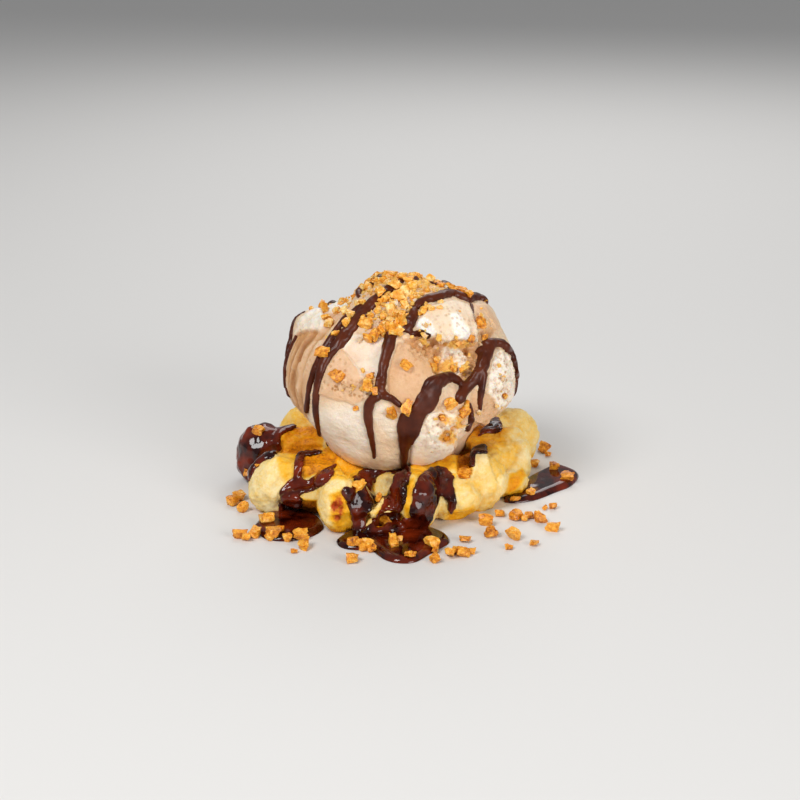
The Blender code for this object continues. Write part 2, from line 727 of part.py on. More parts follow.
def make_pool(name, outline, parts, cutters, toppings, around):
    """A flat pool of sauce with a rounded edge, cut clear of the waffle's lobes."""
    curve = bpy.data.curves.new(name, "CURVE")
    curve.dimensions = "2D"
    curve.fill_mode = "BOTH"
    curve.extrude = POOL_HEIGHT / 2 - POOL_ROUNDING
    curve.bevel_depth = POOL_ROUNDING
    curve.bevel_resolution = 0
    curve.offset = -POOL_ROUNDING
    spline = curve.splines.new("POLY")
    seen = [place_at(*spot, 2, POOL_HEIGHT / 2) / MM for spot in (*outline, outline[0])]
    path = smooth_path([(place.x, place.y, 0.0) for place in seen], 2)[:-1]
    spline.points.add(len(path) - 1)
    for point, place in zip(spline.points, path):
        point.co = (place.x * MM, place.y * MM, 0.0, 1.0)
    spline.use_cyclic_u = True
    guide = bpy.data.objects.new(name + "_outline", curve)
    cutters.objects.link(guide)
    graph = bpy.context.evaluated_depsgraph_get()
    mesh = bpy.data.meshes.new_from_object(guide.evaluated_get(graph))
    mesh.transform(Matrix.Translation((0.0, 0.0, POOL_HEIGHT / 2)))
    bpy.data.objects.remove(guide)
    welded = bmesh.new()
    welded.from_mesh(mesh)
    bmesh.ops.remove_doubles(welded, verts=welded.verts, dist=0.01 * MM)
    bmesh.ops.recalc_face_normals(welded, faces=welded.faces)
    welded.to_mesh(mesh)
    welded.free()
    pool = mesh_object(name, mesh, parts)
    surface = surface_of(pool)
    chips_seen(name + "_chip", surface, POOL_CHIPS[name], toppings)
    dress(pool, toppings)
    boolean(pool, "DIFFERENCE", around)
    keep_largest_body(pool)
    return pool


def main():
    clear_scene()
    parts = new_collection("waffle_dessert")
    cutters = new_collection("cutters", hidden=True)
    toppings = new_collection("toppings", hidden=True)
    baked = material("baked_waffle", (0.78, 0.50, 0.16), 0.55)
    cream = material("ripple_ice_cream", (0.80, 0.62, 0.46), 0.45)
    chocolate = material("chocolate_sauce", (0.05, 0.018, 0.010), 0.15)

    scoop = make_scoop(parts, toppings)
    waffle = make_waffle(parts, cutters, toppings)
    scoop.data.materials.append(cream)
    waffle.data.materials.append(baked)

    around = bare_waffle("around_waffle", cutters, grown=POOL_GAP)
    for name, outline in POOLS.items():
        pool = make_pool(name, outline, parts, cutters, toppings, around)
        pool.data.materials.append(chocolate)

    for obj in bpy.data.objects:
        if obj.name not in parts.objects:
            obj.hide_render = True
            obj.display_type = "WIRE"
    for obj in parts.objects:
        obj.data.polygons.foreach_set("material_index", [0] * len(obj.data.polygons))
        print(obj.name, triangles_in(obj))


main()
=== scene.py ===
import math
import random

import bmesh
import bpy
import numpy as np
from mathutils import Matrix, Vector
from mathutils import noise as softNoise
from mathutils.bvhtree import BVHTree


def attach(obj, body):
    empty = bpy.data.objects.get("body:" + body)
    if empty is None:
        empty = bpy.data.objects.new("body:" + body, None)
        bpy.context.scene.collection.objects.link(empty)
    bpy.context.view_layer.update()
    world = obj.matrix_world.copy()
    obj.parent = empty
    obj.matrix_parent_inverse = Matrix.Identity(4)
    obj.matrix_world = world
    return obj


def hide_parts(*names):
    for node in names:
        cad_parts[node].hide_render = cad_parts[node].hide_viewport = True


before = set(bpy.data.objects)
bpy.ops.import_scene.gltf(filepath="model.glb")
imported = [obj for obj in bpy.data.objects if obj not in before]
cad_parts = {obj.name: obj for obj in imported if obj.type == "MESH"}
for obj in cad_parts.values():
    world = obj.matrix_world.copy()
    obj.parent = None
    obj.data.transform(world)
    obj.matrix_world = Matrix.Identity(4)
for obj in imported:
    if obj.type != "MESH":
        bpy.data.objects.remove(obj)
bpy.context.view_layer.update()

mm = 0.001
random.seed(23)

# Where things show in the photograph's frame of 800 by 800: across and down in its units, from one eye point.
look = {"eye": (3.0, -529.1, 203.1), "down": 18.51, "sight": 1889.0, "middle": 400.0}
unit = 0.285 * mm  # real size of one unit on the front of the scoop


# General helpers

def toLinear(hexColour):
    parts = [int(hexColour[i:i + 2], 16) / 255 for i in (1, 3, 5)]
    return (*[p / 12.92 if p <= 0.04045 else ((p + 0.055) / 1.055) ** 2.4 for p in parts], 1.0)


def setStops(ramp, stops):
    while len(ramp.elements) < len(stops):
        ramp.elements.new(0.5)
    for element, (place, colour) in zip(ramp.elements, stops):
        element.position = place
        element.color = toLinear(colour)


def addNode(tree, kind, settings=None, links=None):  # a node with its settings and what feeds it
    node = tree.nodes.new(kind)
    for name, value in (settings or {}).items():
        if name == "stops":
            setStops(node.color_ramp, value)
        elif isinstance(name, int) or name in node.inputs:
            node.inputs[name].default_value = value
        else:
            setattr(node, name, value)
    for name, source in (links or {}).items():
        tree.links.new(source, node.inputs[name])
    return node


def setSockets(shader, values):
    for name, value in values.items():
        shader.inputs[name].default_value = value


def pick(obj):
    bpy.ops.object.select_all(action="DESELECT")
    obj.select_set(True)
    bpy.context.view_layer.objects.active = obj


def applyAll(obj):
    pick(obj)
    for modifier in list(obj.modifiers):
        bpy.ops.object.modifier_apply(modifier=modifier.name)


def settle(obj):  # the place goes into the mesh
    pick(obj)
    bpy.ops.object.transform_apply(location=True, rotation=True, scale=True)


def joinAll(objects, name):
    pick(objects[0])
    for obj in objects:
        obj.select_set(True)
    bpy.ops.object.join()
    joined = bpy.context.object
    joined.name = name
    joined.data.name = name
    return joined


def getPoints(obj):
    flat = np.empty(len(obj.data.vertices) * 3)
    obj.data.vertices.foreach_get("co", flat)
    return flat.reshape(-1, 3)


def setPoints(obj, points):
    obj.data.vertices.foreach_set("co", np.asarray(points, np.float32).ravel())
    obj.data.update()


def getNormals(obj):
    flat = np.empty(len(obj.data.vertices) * 3, np.float32)
    obj.data.vertex_normals.foreach_get("vector", flat)
    return flat.reshape(-1, 3).astype(float)


def setValue(obj, name, values):  # a value for each point, which a material reads
    layer = obj.data.attributes.get(name) or obj.data.attributes.new(name, "FLOAT", "POINT")
    layer.data.foreach_set("value", np.asarray(values, np.float32))


def meshFrom(name, points, faces):
    mesh = bpy.data.meshes.new(name)
    mesh.from_pydata([tuple(p) for p in points], [], faces)
    obj = bpy.data.objects.new(name, mesh)
    bpy.context.scene.collection.objects.link(obj)
    return obj


def keepAbove(obj, level=0.0):
    points = getPoints(obj)
    points[:, 2] = np.maximum(points[:, 2], level)
    setPoints(obj, points)


def copyOf(obj):
    made = obj.copy()
    made.data = obj.data.copy()
    bpy.context.scene.collection.objects.link(made)
    return made


def editAll(obj):  # into edit mode with all of it selected
    pick(obj)
    bpy.ops.object.mode_set(mode="EDIT")
    bpy.ops.mesh.select_all(action="SELECT")


def remesh(obj, voxel, rounds):
    fuse = obj.modifiers.new("fuse", "REMESH")
    fuse.mode = "VOXEL"
    fuse.voxel_size = voxel
    soften = obj.modifiers.new("soften", "SMOOTH")
    soften.factor = 0.5
    soften.iterations = rounds
    applyAll(obj)


def surfaceOf(obj):
    return BVHTree.FromObject(obj, bpy.context.evaluated_depsgraph_get())


def finishPiece(obj, material, slot, *nodes, broken=False):
    pick(obj)
    obj.data.materials.clear()
    obj.data.materials.append(material)
    if broken:
        bpy.ops.object.shade_flat()
    else:
        bpy.ops.object.shade_smooth()
    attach(obj, "root")
    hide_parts(*nodes)
    print(obj.name, len(obj.data.polygons), "faces")


def ease(low, high, value):  # smooth step from 0 at low to 1 at high
    share = np.clip((value - low) / (high - low), 0.0, 1.0)
    return share * share * (3 - 2 * share)


def inSizes(points, size, shift):  # the points measured in this size
    return [Vector((p[0] / size + shift, p[1] / size, p[2] / size)) for p in points]


def cloud(points, size, shift=0.0):  # soft noise from -1 to 1, with lumps of about this size
    return np.array([softNoise.noise(place) for place in inSizes(points, size, shift)])


def crumble(points, size, octaves=4, shift=0.0):  # the same with finer and finer crumbs on it
    return np.array([softNoise.fractal(place, 0.6, 2.1, octaves) for place in inSizes(points, size, shift)])


# The photograph's frame

def viewAxes(behind):
    tilt = math.radians(look["down"])
    forward = np.array((0.0, math.cos(tilt), -math.sin(tilt)))
    right = np.array((1.0, 0.0, 0.0))
    up = np.cross(right, forward)
    eye = np.array(look["eye"]) * mm
    if behind:  # the same seen from the other side of the scoop
        turn = np.array(((-1.0, 0, 0), (0, -1.0, 0), (0, 0, 1.0)))
        middle = np.array(scoopPlan["middle"])
        eye = turn @ (eye - middle) + middle
        forward, right, up = turn @ forward, turn @ right, turn @ up
    return eye, forward, right, up


def pictureOf(points, behind=False):
    eye, forward, right, up = viewAxes(behind)
    offset = points - eye
    depth = offset @ forward
    return look["middle"] + look["sight"] * (offset @ right) / depth, \
        look["middle"] - look["sight"] * (offset @ up) / depth


def sightLine(across, down, behind=False):
    eye, forward, right, up = viewAxes(behind)
    line = forward * look["sight"] + right * (across - look["middle"]) + up * (look["middle"] - down)
    return Vector(eye), Vector(line).normalized()


def facingShare(points, normals, low, high, behind=False):  # 1 where a surface faces the eye, 0 turned away
    sight = viewAxes(behind)[0] - points
    sight /= np.linalg.norm(sight, axis=1)[:, None]
    return ease(low, high, np.einsum("ij,ij->i", normals, sight))


def pointSeen(surface, across, down, behind=False):
    eye, line = sightLine(across, down, behind)
    point, normal, _, _ = surface.ray_cast(eye, line)
    if point is None:
        middle = Vector(scoopPlan["middle"])
        point, normal, _, _ = surface.find_nearest(eye + line * (middle - eye).dot(line))
    return point, normal


def groundSeen(across, down, level=0.0):
    eye, line = sightLine(across, down)
    return eye + line * ((level - eye.z) / line.z)


def smoothPath(points, steps):
    padded = [points[0], *points, points[-1]]
    made = []
    for i in range(1, len(padded) - 2):
        before, start, end, after = (Vector(p) for p in padded[i - 1:i + 3])
        for step in range(steps):
            t = step / steps
            made.append(0.5 * (2 * start + (end - before) * t
                               + (2 * before - 5 * start + 4 * end - after) * t * t
                               + (3 * start - before - 3 * end + after) * t ** 3))
    return [*made, Vector(points[-1])]


def evenPath(path, step):
    runs = [0.0]
    for start, end in zip(path, path[1:]):
        runs.append(runs[-1] + (end.xy - start.xy).length)
    count = max(4, round(runs[-1] / step))
    made, spot = [], 0
    for number in range(count + 1):
        run = runs[-1] * number / count
        while spot < len(path) - 2 and runs[spot + 1] < run:
            spot += 1
        share = (run - runs[spot]) / max(1e-9, runs[spot + 1] - runs[spot])
        made.append((path[spot].lerp(path[spot + 1], min(1.0, share)), run, runs[-1] - run))
    return made


def lineDistance(x, y, points):  # distance to a run of points, signed by its side, and the share along it
    best = np.full(len(x), 1e9)
    side = np.ones(len(x))
    along = np.zeros(len(x))
    last = len(points) - 1
    for i, ((ax, ay), (bx, by)) in enumerate(zip(points, points[1:])):
        ux, uy = bx - ax, by - ay
        t = np.clip(((x - ax) * ux + (y - ay) * uy) / (ux * ux + uy * uy), 0, 1)
        gap = np.hypot(x - ax - t * ux, y - ay - t * uy)
        near = gap < best
        best = np.where(near, gap, best)
        side = np.where(near, np.sign(ux * (y - ay) - uy * (x - ax)), side)
        along = np.where(near, (i + t) / last, along)
    return best * side, along


def outlineDistance(x, y, points):  # distance to a closed outline, above 0 inside it
    closed = [*points, points[0]]
    gap = np.abs(lineDistance(x, y, closed)[0])
    inside = np.zeros(len(x), bool)
    for (ax, ay), (bx, by) in zip(closed, closed[1:]):
        crosses = (ay > y) != (by > y)
        inside ^= crosses & (x < (bx - ax) * (y - ay) / (by - ay + 1e-12) + ax)
    return np.where(inside, gap, -gap)


def inOval(x, y, across, down, halfWidth, halfHeight, turn):  # places measured in the halves of a turned oval
    c, s = math.cos(math.radians(turn)), math.sin(math.radians(turn))
    return ((x - across) * c + (y - down) * s) / halfWidth, (-(x - across) * s + (y - down) * c) / halfHeight


def patches(x, y, rows):  # sum of soft ovals: across, down, half width, half height, turn, amount
    total = np.zeros(len(x))
    for *oval, amount in rows:
        u, v = inOval(x, y, *oval)
        total += amount * np.exp(-(u * u + v * v) ** 1.5)
    return total


# Ice cream: a flattened ball with rolled layers on its left, broken folds on its right and a crumbly crest

scoopPlan = {
    "middle": (2.6 * mm, 0.0, 33.3 * mm),
    "half": (33.6 * mm, 33.0 * mm, 27.0 * mm),
    "foot": 10.2 * mm,
    "seatTop": 10.6 * mm,  # the forms fade out below this
    "cuts": 7,  # how often the cube that becomes the ball is halved
    "tone": 0.58,  # between caramel and cream, where no layer is named
    "crumbSizes": (2.6 * mm, 1.1 * mm),
    "lumps": (5.0 * mm, 0.28),  # size, height in mm
    "edgeWaver": (3.4 * mm, 1.6),  # size, reach in the frame's units
    "forms": {  # across, down, half width, half height, lift in mm
        "crest": (408, 290, 52, 22, 2.6),
        "crestRightDip": (448, 282, 20, 12, -0.8),
        "rightShoulder": (484, 304, 24, 22, 2.6),
        "upperDome": (450, 322, 34, 22, 2.4),
        "rightLobe": (500, 368, 22, 44, 2.0),
        "leftKnob": (302, 320, 20, 16, 3.0),
        "shoulderDip": (337, 291, 17, 24, -6.4),
        "creamFacet": (366, 352, 26, 20, -1.2),
        "leftCheek": (330, 395, 34, 42, 0.9),
        "middleFacet": (412, 374, 24, 28, 1.8),
        "brokenHollow": (452, 358, 24, 20, -3.4),
        "deepCrack": (466, 378, 10, 16, -2.6),
        "lowerChunk": (434, 436, 24, 26, 1.4),
        "rightUndercut": (488, 441, 30, 24, -5.6),
        "rightFootDip": (472, 448, 24, 16, -4.6),
        "frontFoot": (378, 462, 38, 14, 2.2),
        "leftUndercut": (300, 440, 30, 28, -4.2),
    },
    "formsBehind": {
        "backFold": (350, 340, 60, 18, 2.0),
        "backGroove": (405, 372, 70, 11, -2.2),
        "backCheek": (450, 405, 50, 26, 1.4),
        "backPit": (330, 400, 18, 20, -2.4),
    },
    "grooves": (188.0, 195.0, 203.0, 212.0),  # degrees round the scoop, on its left
    "grooveDepth": 1.0 * mm,
    "grooveWidth": 2.8,
    # edges of broken layers: the run, a place on the high side, step in mm, reach on the high and low side
    "folds": (
        (((340, 349), (350, 358), (360, 372), (372, 384), (388, 398)), (340, 380), 1.0, 9, 20),
        (((402, 343), (414, 348), (425, 358), (437, 372), (447, 379)), (410, 370), 1.3, 12, 10),
        (((412, 332), (426, 337), (441, 344), (456, 341), (470, 345), (478, 338)), (445, 325), 1.7, 12, 9),
        (((468, 300), (471, 312), (473, 324), (475, 338)), (455, 315), 0.9, 7, 4),
        (((475, 334), (486, 331), (499, 334)), (486, 320), 0.8, 7, 6),
        (((295, 336), (306, 332), (318, 330), (327, 321)), (306, 322), 1.0, 8, 5),
        (((319, 300), (323, 312), (328, 324)), (310, 315), 1.4, 8, 8),
        (((452, 404), (461, 414), (464, 424), (456, 436), (456, 448), (445, 462)), (435, 430), 1.5, 9, 12),
        (((472, 420), (484, 425), (497, 411), (506, 398)), (484, 400), 1.5, 10, 10),
        (((481, 352), (476, 366), (470, 380)), (490, 365), 1.2, 8, 6),
        (((422, 410), (428, 432), (424, 455)), (436, 430), 0.5, 9, 8),
    ),
    "foldsBehind": (
        (((300, 352), (340, 362), (390, 356), (440, 366), (495, 352)), (390, 330), 1.4, 14, 10),
        (((330, 410), (370, 402), (420, 412), (470, 404)), (400, 385), 1.1, 12, 9),
        (((360, 300), (372, 325), (366, 350)), (350, 325), 0.9, 9, 7),
    ),
    # crumbly places: across, down, half width, half height, turn, roughness in mm
    "rough": (
        (398, 286, 46, 15, 0, 0.8), (454, 360, 16, 18, 0, 1.3), (501, 374, 14, 30, 0, 0.8),
        (441, 424, 17, 20, 0, 0.7), (304, 318, 18, 16, 0, 1.0), (455, 338, 24, 8, 0, 1.0),
        (470, 416, 13, 14, 0, 0.9), (350, 388, 24, 9, 10, 0.4), (390, 318, 26, 14, 0, 0.8),
        (372, 384, 12, 12, 0, 0.8), (424, 350, 20, 12, 20, 1.1), (482, 330, 14, 14, 0, 0.7),
        (426, 329, 12, 9, 0, 0.8), (472, 366, 8, 14, 0, 0.9),
    ),
    "roughBehind": (
        (400, 300, 60, 20, 0, 0.9), (340, 385, 34, 22, 0, 0.9), (455, 350, 26, 26, 0, 0.8),
        (395, 392, 22, 16, 0, 1.4),
    ),
    "pores": (
        (350, 389, 27, 9, 8, 1.0), (337, 370, 12, 16, 0, 0.7), (428, 352, 20, 10, 20, 0.8),
        (500, 378, 12, 28, 0, 0.8), (440, 430, 18, 20, 0, 0.6), (304, 352, 12, 18, 0, 0.5),
        (452, 322, 22, 16, 0, 0.5), (412, 366, 16, 18, 0, 0.4), (470, 362, 8, 16, 0, 1.0),
        (484, 418, 12, 16, 0, 0.5),
    ),
    "poresBehind": ((345, 345, 34, 24, 0, 0.7), (440, 420, 34, 18, 0, 0.8), (450, 350, 30, 30, 0, 0.6)),
    "pits": (  # across, down, radius, depth in mm
        (442, 418, 4.0, 1.5), (446, 436, 6.5, 1.8), (453, 428, 3.0, 1.2), (466, 352, 3.5, 1.6),
        (435, 364, 3.0, 1.2), (356, 408, 2.6, 0.5), (504, 396, 3.0, 1.0), (418, 352, 2.4, 0.8),
    ),
    # layers and broken faces: tone from caramel at 0 to cream at 1, lift in mm, softness of the edge,
    # outline; the crevice is darkened as painted shade, the hollow wall partly
    "zones": {
        "lowerCheek": (0.84, 0.0, 9, ((305, 418), (330, 405), (362, 404), (371, 430), (374, 476),
            (340, 474), (318, 452))),
        "centreCream": (0.78, 0.0, 5, ((371, 404), (384, 401), (394, 408), (398, 424), (396, 440),
            (382, 432), (373, 420))),
        "centreFoot": (0.60, 0.0, 8, ((372, 444), (404, 440), (404, 478), (356, 478))),
        "leftLayers": (0.42, 0.0, 1.6, ((293, 334), (306, 332), (320, 330), (334, 342), (322, 356),
            (314, 372), (309, 392), (309, 416), (302, 414), (294, 400), (287, 383), (284, 362),
            (289, 345))),
        "leftLayerLight": (0.58, 0.5, 1.2, ((304, 352), (313, 342), (323, 341), (311, 358), (304, 378),
            (301, 398), (297, 388), (299, 366))),
        "leftStreak": (0.27, -0.3, 1.2, ((314, 331), (317, 334), (309, 343), (304, 352), (301, 362),
            (297, 361), (301, 349), (306, 339))),
        "leftStreakLow": (0.29, -0.3, 1.2, ((291, 369), (295, 371), (296, 384), (298, 395), (301, 406),
            (298, 409), (293, 398), (291, 385))),
        "whiteKnob": (0.98, 0.6, 1.0, ((294, 336), (292, 325), (297, 316), (306, 310), (315, 306),
            (321, 306), (323, 316), (326, 326), (319, 331), (308, 331), (300, 334))),
        "porousFacet": (0.47, 0.4, 1.0, ((340, 348), (332, 360), (326, 371), (320, 384), (318, 394),
            (329, 399), (343, 400), (353, 405), (364, 400), (364, 386), (360, 376), (352, 362))),
        "creamFacet": (0.82, -0.6, 0.9, ((346, 334), (358, 332), (372, 335), (388, 338), (383, 352),
            (381, 366), (379, 378), (369, 376), (360, 375), (352, 362), (343, 348))),
        "middleFacet": (0.38, 0.7, 1.0, ((399, 344), (406, 345), (416, 350), (424, 356), (430, 370),
            (435, 379), (424, 388), (418, 398), (414, 408), (402, 413), (394, 406), (388, 392), (388, 376),
            (392, 360))),
        # the wall of the broken hollow: caramel brown, partly its own ripple and partly painted shade in the
        # hollow
        "hollowWall": (0.30, -1.4, 1.1, ((403, 338), (422, 335), (438, 340), (448, 343), (444, 354),
            (442, 368), (438, 376), (431, 372), (427, 360), (416, 350), (407, 345))),
        "crumbLumps": (0.84, -0.3, 1.6, ((444, 347), (452, 344), (464, 347), (467, 356), (464, 368),
            (458, 377), (447, 377), (441, 370), (443, 358))),
        # painted shade: the crevice right of the crumb lumps, sunk and darkened toward caramel
        "crevice": (0.30, -1.3, 1.6, ((466, 348), (477, 348), (478, 362), (473, 374), (465, 382),
            (461, 376), (467, 364))),
        "domeTop": (0.68, 0.9, 1.1, ((430, 309), (442, 303), (456, 302), (466, 306), (471, 314), (473, 326),
            (476, 340), (464, 341), (452, 341), (442, 340), (432, 338), (422, 334), (416, 329),
            (419, 320))),
        "domeWhiteLeft": (1.0, 1.1, 1.3, ((417, 322), (424, 320), (431, 325), (435, 333), (431, 338),
            (422, 334), (416, 329))),
        "domeWhiteRight": (0.98, 1.0, 1.8, ((449, 317), (457, 315), (461, 323), (466, 331), (472, 339),
            (461, 341), (453, 335), (450, 326))),
        "goldBand": (0.35, -0.4, 1.3, ((449, 340), (462, 339), (476, 341), (476, 346), (462, 349),
            (450, 346))),
        "rightPiece": (0.48, 0.6, 1.1, ((474, 306), (486, 306), (496, 313), (502, 323), (505, 331),
            (497, 330), (488, 328), (477, 331), (473, 322))),
        "underRightPiece": (0.36, -0.3, 1.5, ((477, 332), (488, 329), (496, 331), (488, 340), (480, 350),
            (475, 349))),
        "rightLobe": (0.86, 0.5, 1.4, ((496, 350), (504, 352), (510, 362), (513, 376), (513, 391),
            (511, 402), (501, 412), (494, 405), (488, 391), (488, 376), (493, 361))),
        "lowerRight": (0.40, -0.4, 1.5, ((472, 388), (480, 392), (486, 392), (494, 400), (496, 410),
            (493, 419), (484, 430), (473, 433), (471, 418), (470, 402))),
        "lowerChunk": (0.80, 0.9, 1.1, ((429, 413), (442, 410), (455, 413), (457, 422), (449, 428),
            (453, 439), (451, 448), (442, 457), (429, 462), (415, 465), (410, 463), (413, 441),
            (423, 424))),
        "chunkCrumbs": (0.78, 0.2, 1.8, ((455, 424), (462, 419), (469, 430), (467, 440), (458, 442),
            (453, 434))),
    },
    "zonesBehind": {
        "backCream": (0.88, 0.7, 1.2, ((326, 322), (350, 309), (378, 308), (403, 322), (398, 350),
            (366, 364), (334, 354))),
        "backHollow": (0.22, -1.3, 1.8, ((404, 338), (440, 330), (468, 346), (462, 372), (430, 384),
            (404, 370))),
        "backLayer": (0.36, 0.5, 1.4, ((300, 372), (338, 370), (372, 384), (384, 410), (362, 432),
            (318, 426), (298, 400))),
        "backWhite": (0.97, 0.6, 1.3, ((446, 300), (476, 304), (496, 326), (492, 350), (470, 344),
            (448, 328))),
        "backLow": (0.76, 0.5, 2.0, ((410, 402), (446, 392), (484, 400), (486, 426), (452, 454),
            (416, 452))),
    },
    "gold": (
        (398, 288, 46, 16, 0, 0.8), (450, 367, 10, 8, 0, 1.3), (460, 344, 20, 5, 0, 0.9),
        (396, 318, 22, 12, 0, 0.8), (373, 385, 13, 12, 0, 0.7), (446, 436, 9, 6, 0, 0.9),
        (442, 418, 6, 5, 0, 0.8), (484, 326, 12, 10, 0, 0.6), (504, 380, 10, 22, 0, 0.45),
        (432, 364, 10, 10, 0, 0.7), (458, 418, 8, 10, 0, 0.7), (456, 354, 12, 8, 0, 0.40),
        (448, 432, 16, 16, 0, 0.5),
    ),
    "goldBehind": ((400, 292, 60, 18, 0, 0.8), (455, 350, 22, 22, 0, 0.4), (340, 390, 26, 16, 0, 0.4)),
}


def formLift(points, surface):
    total = np.zeros(len(points))
    for rows, behind in ((scoopPlan["forms"], False), (scoopPlan["formsBehind"], True)):
        _, _, right, up = viewAxes(behind)
        depthWay = np.cross(right, up)
        for across, down, halfWidth, halfHeight, lift in rows.values():
            place = np.array(pointSeen(surface, across, down, behind)[0])
            offset = points - place
            side = offset @ right / (halfWidth * unit)
            rise = offset @ up / (halfHeight * unit)
            depth = offset @ depthWay / (1.3 * max(halfWidth, halfHeight) * unit)
            total += lift * mm * np.exp(-(side ** 2 + rise ** 2 + depth ** 2))
    return total


def grooveShare(points):  # degrees round the scoop, and how much of a groove's depth is left at this height
    offset = points - np.array(scoopPlan["middle"])
    angle = np.degrees(np.arctan2(offset[:, 1], offset[:, 0])) % 360
    reach = np.clip(1 - np.abs(offset[:, 2] / scoopPlan["half"][2]) ** 3, 0, 1)
    return angle, reach


def foldLift(x, y, rows):
    total = np.zeros(len(x))
    for run, highPlace, step, highReach, lowReach in rows:
        path = [(p.x, p.y) for p in smoothPath([(*p, 0.0) for p in run], 5)]
        gap, along = lineDistance(x, y, path)
        highX, highY = np.array(highPlace, float)[:, None]
        flip = np.sign(lineDistance(highX, highY, path)[0][0])
        gap = gap * flip
        ends = ease(0.0, 0.12, along) * ease(0.0, 0.12, 1 - along)
        high = np.exp(-np.abs(gap) / highReach) * 0.5
        low = -np.exp(-np.abs(gap) / lowReach) * 0.5
        total += step * mm * ends * (low + (high - low) * ease(-1.1, 1.1, gap))
    return total


def paintZones(x, y, rows, share, tone, lift):  # each zone covers what the ones before it painted
    for value, rise, edge, outline in rows.values():
        inside = ease(-edge, edge, outlineDistance(x, y, outline)) * share
        tone = tone + (value - tone) * inside
        lift = lift + (rise * mm - lift) * inside
    return tone, lift


def scoopForm(bare):  # the forms and rolled grooves on a bare ball, before any fine relief
    middle = np.array(scoopPlan["middle"])
    outward = (bare - middle) / np.linalg.norm(bare - middle, axis=1)[:, None]
    angle, reach = grooveShare(bare)
    width = scoopPlan["grooveWidth"]
    grooves = sum(np.exp(-((angle - place) / width) ** 2) for place in scoopPlan["grooves"]) * reach
    bpy.ops.mesh.primitive_uv_sphere_add(segments=96, ring_count=64, radius=1.0, location=middle)
    probe = bpy.context.object
    probe.scale = scoopPlan["half"]
    settle(probe)
    lift = formLift(bare, surfaceOf(probe)) - scoopPlan["grooveDepth"] * grooves
    bpy.data.objects.remove(probe)
    aboveSeat = np.clip((bare[:, 2] - scoopPlan["seatTop"]) / (4 * mm), 0, 1)
    return bare + outward * (lift * aboveSeat)[:, None], outward, aboveSeat, angle, grooves


def makeScoop():
    bpy.ops.mesh.primitive_cube_add(size=2.0)
    scoop = bpy.context.object
    scoop.name = "iceCream"
    fine = scoop.modifiers.new("fine", "SUBSURF")
    fine.subdivision_type = "SIMPLE"
    fine.levels = fine.render_levels = scoopPlan["cuts"]
    applyAll(scoop)
    way = np.tan(getPoints(scoop) * math.pi / 4)  # even cells all over the ball
    way /= np.linalg.norm(way, axis=1)[:, None]
    bare = way * np.array(scoopPlan["half"]) + np.array(scoopPlan["middle"])
    smooth, outward, aboveSeat, angle, grooves = scoopForm(bare)
    pick(scoop)
    setPoints(scoop, smooth)
    guide = surfaceOf(scoop)

    normals = getNormals(scoop)
    total, lift, rough, pores, gold = (np.zeros(len(bare)) for _ in range(5))
    tone = scoopPlan["tone"] + 0.07 * cloud(smooth, 13 * mm, 4.0)
    crumbSize, fineCrumbSize = scoopPlan["crumbSizes"]
    crumbs = crumble(smooth, crumbSize, 4)
    fineCrumbs = crumble(smooth, fineCrumbSize, 3, 9.0)
    waver, reach = scoopPlan["edgeWaver"]
    wobble, sway = cloud(smooth, waver, 2.0) * reach, cloud(smooth, waver, 31.0) * reach
    for behind in (False, True):
        plan = {name: scoopPlan[name + ("Behind" if behind else "")]
                for name in ("zones", "folds", "rough", "pores", "gold")}
        facing = facingShare(smooth, outward, 0.02, 0.22, behind)
        x, y = pictureOf(smooth, behind)
        tone, lift = paintZones(x + wobble, y + sway, plan["zones"], facing, tone, lift)
        total += facing * foldLift(x + wobble, y + sway, plan["folds"])
        rough += facing * patches(x, y, plan["rough"])
        pores += facing * patches(x, y, plan["pores"])
        gold += facing * patches(x, y, plan["gold"])
        if not behind:
            for across, down, radius, depth in scoopPlan["pits"]:
                total -= facing * depth * mm * np.exp(-(np.hypot(x - across, y - down) / radius) ** 4)
    total += lift + rough * mm * (crumbs * 0.9 + fineCrumbs * 0.4)
    lumpSize, lumpHeight = scoopPlan["lumps"]
    total += cloud(smooth, lumpSize) * lumpHeight * mm + crumbs * 0.13 * mm + fineCrumbs * 0.07 * mm
    leftSide = ease(178, 190, angle) * ease(0, 10, 224 - angle)  # where the layers are rolled
    tone += leftSide * (0.08 * np.sin(angle * 0.9 + cloud(smooth, 9 * mm, 7.0) * 3.0) - 0.30 * grooves)
    points = smooth + normals * (total * aboveSeat)[:, None]
    points[:, 2] = np.maximum(points[:, 2], scoopPlan["foot"])
    setPoints(scoop, points)
    setValue(scoop, "tone", np.clip(tone, 0, 1))
    setValue(scoop, "gold", np.clip(gold, 0, 1.5))
    # painted shade: darker where the relief sinks below its layer, in cracks, pits and the low sides of folds
    setValue(scoop, "crack", np.clip((lift - total) / (1.2 * mm), 0, 1))
    setValue(scoop, "crumbs", np.clip(rough, 0, 1))
    setValue(scoop, "pores", np.clip(pores, 0, 1))
    return scoop, guide


# Chocolate sauce in strands: across, down, half width, from the top of the strand down

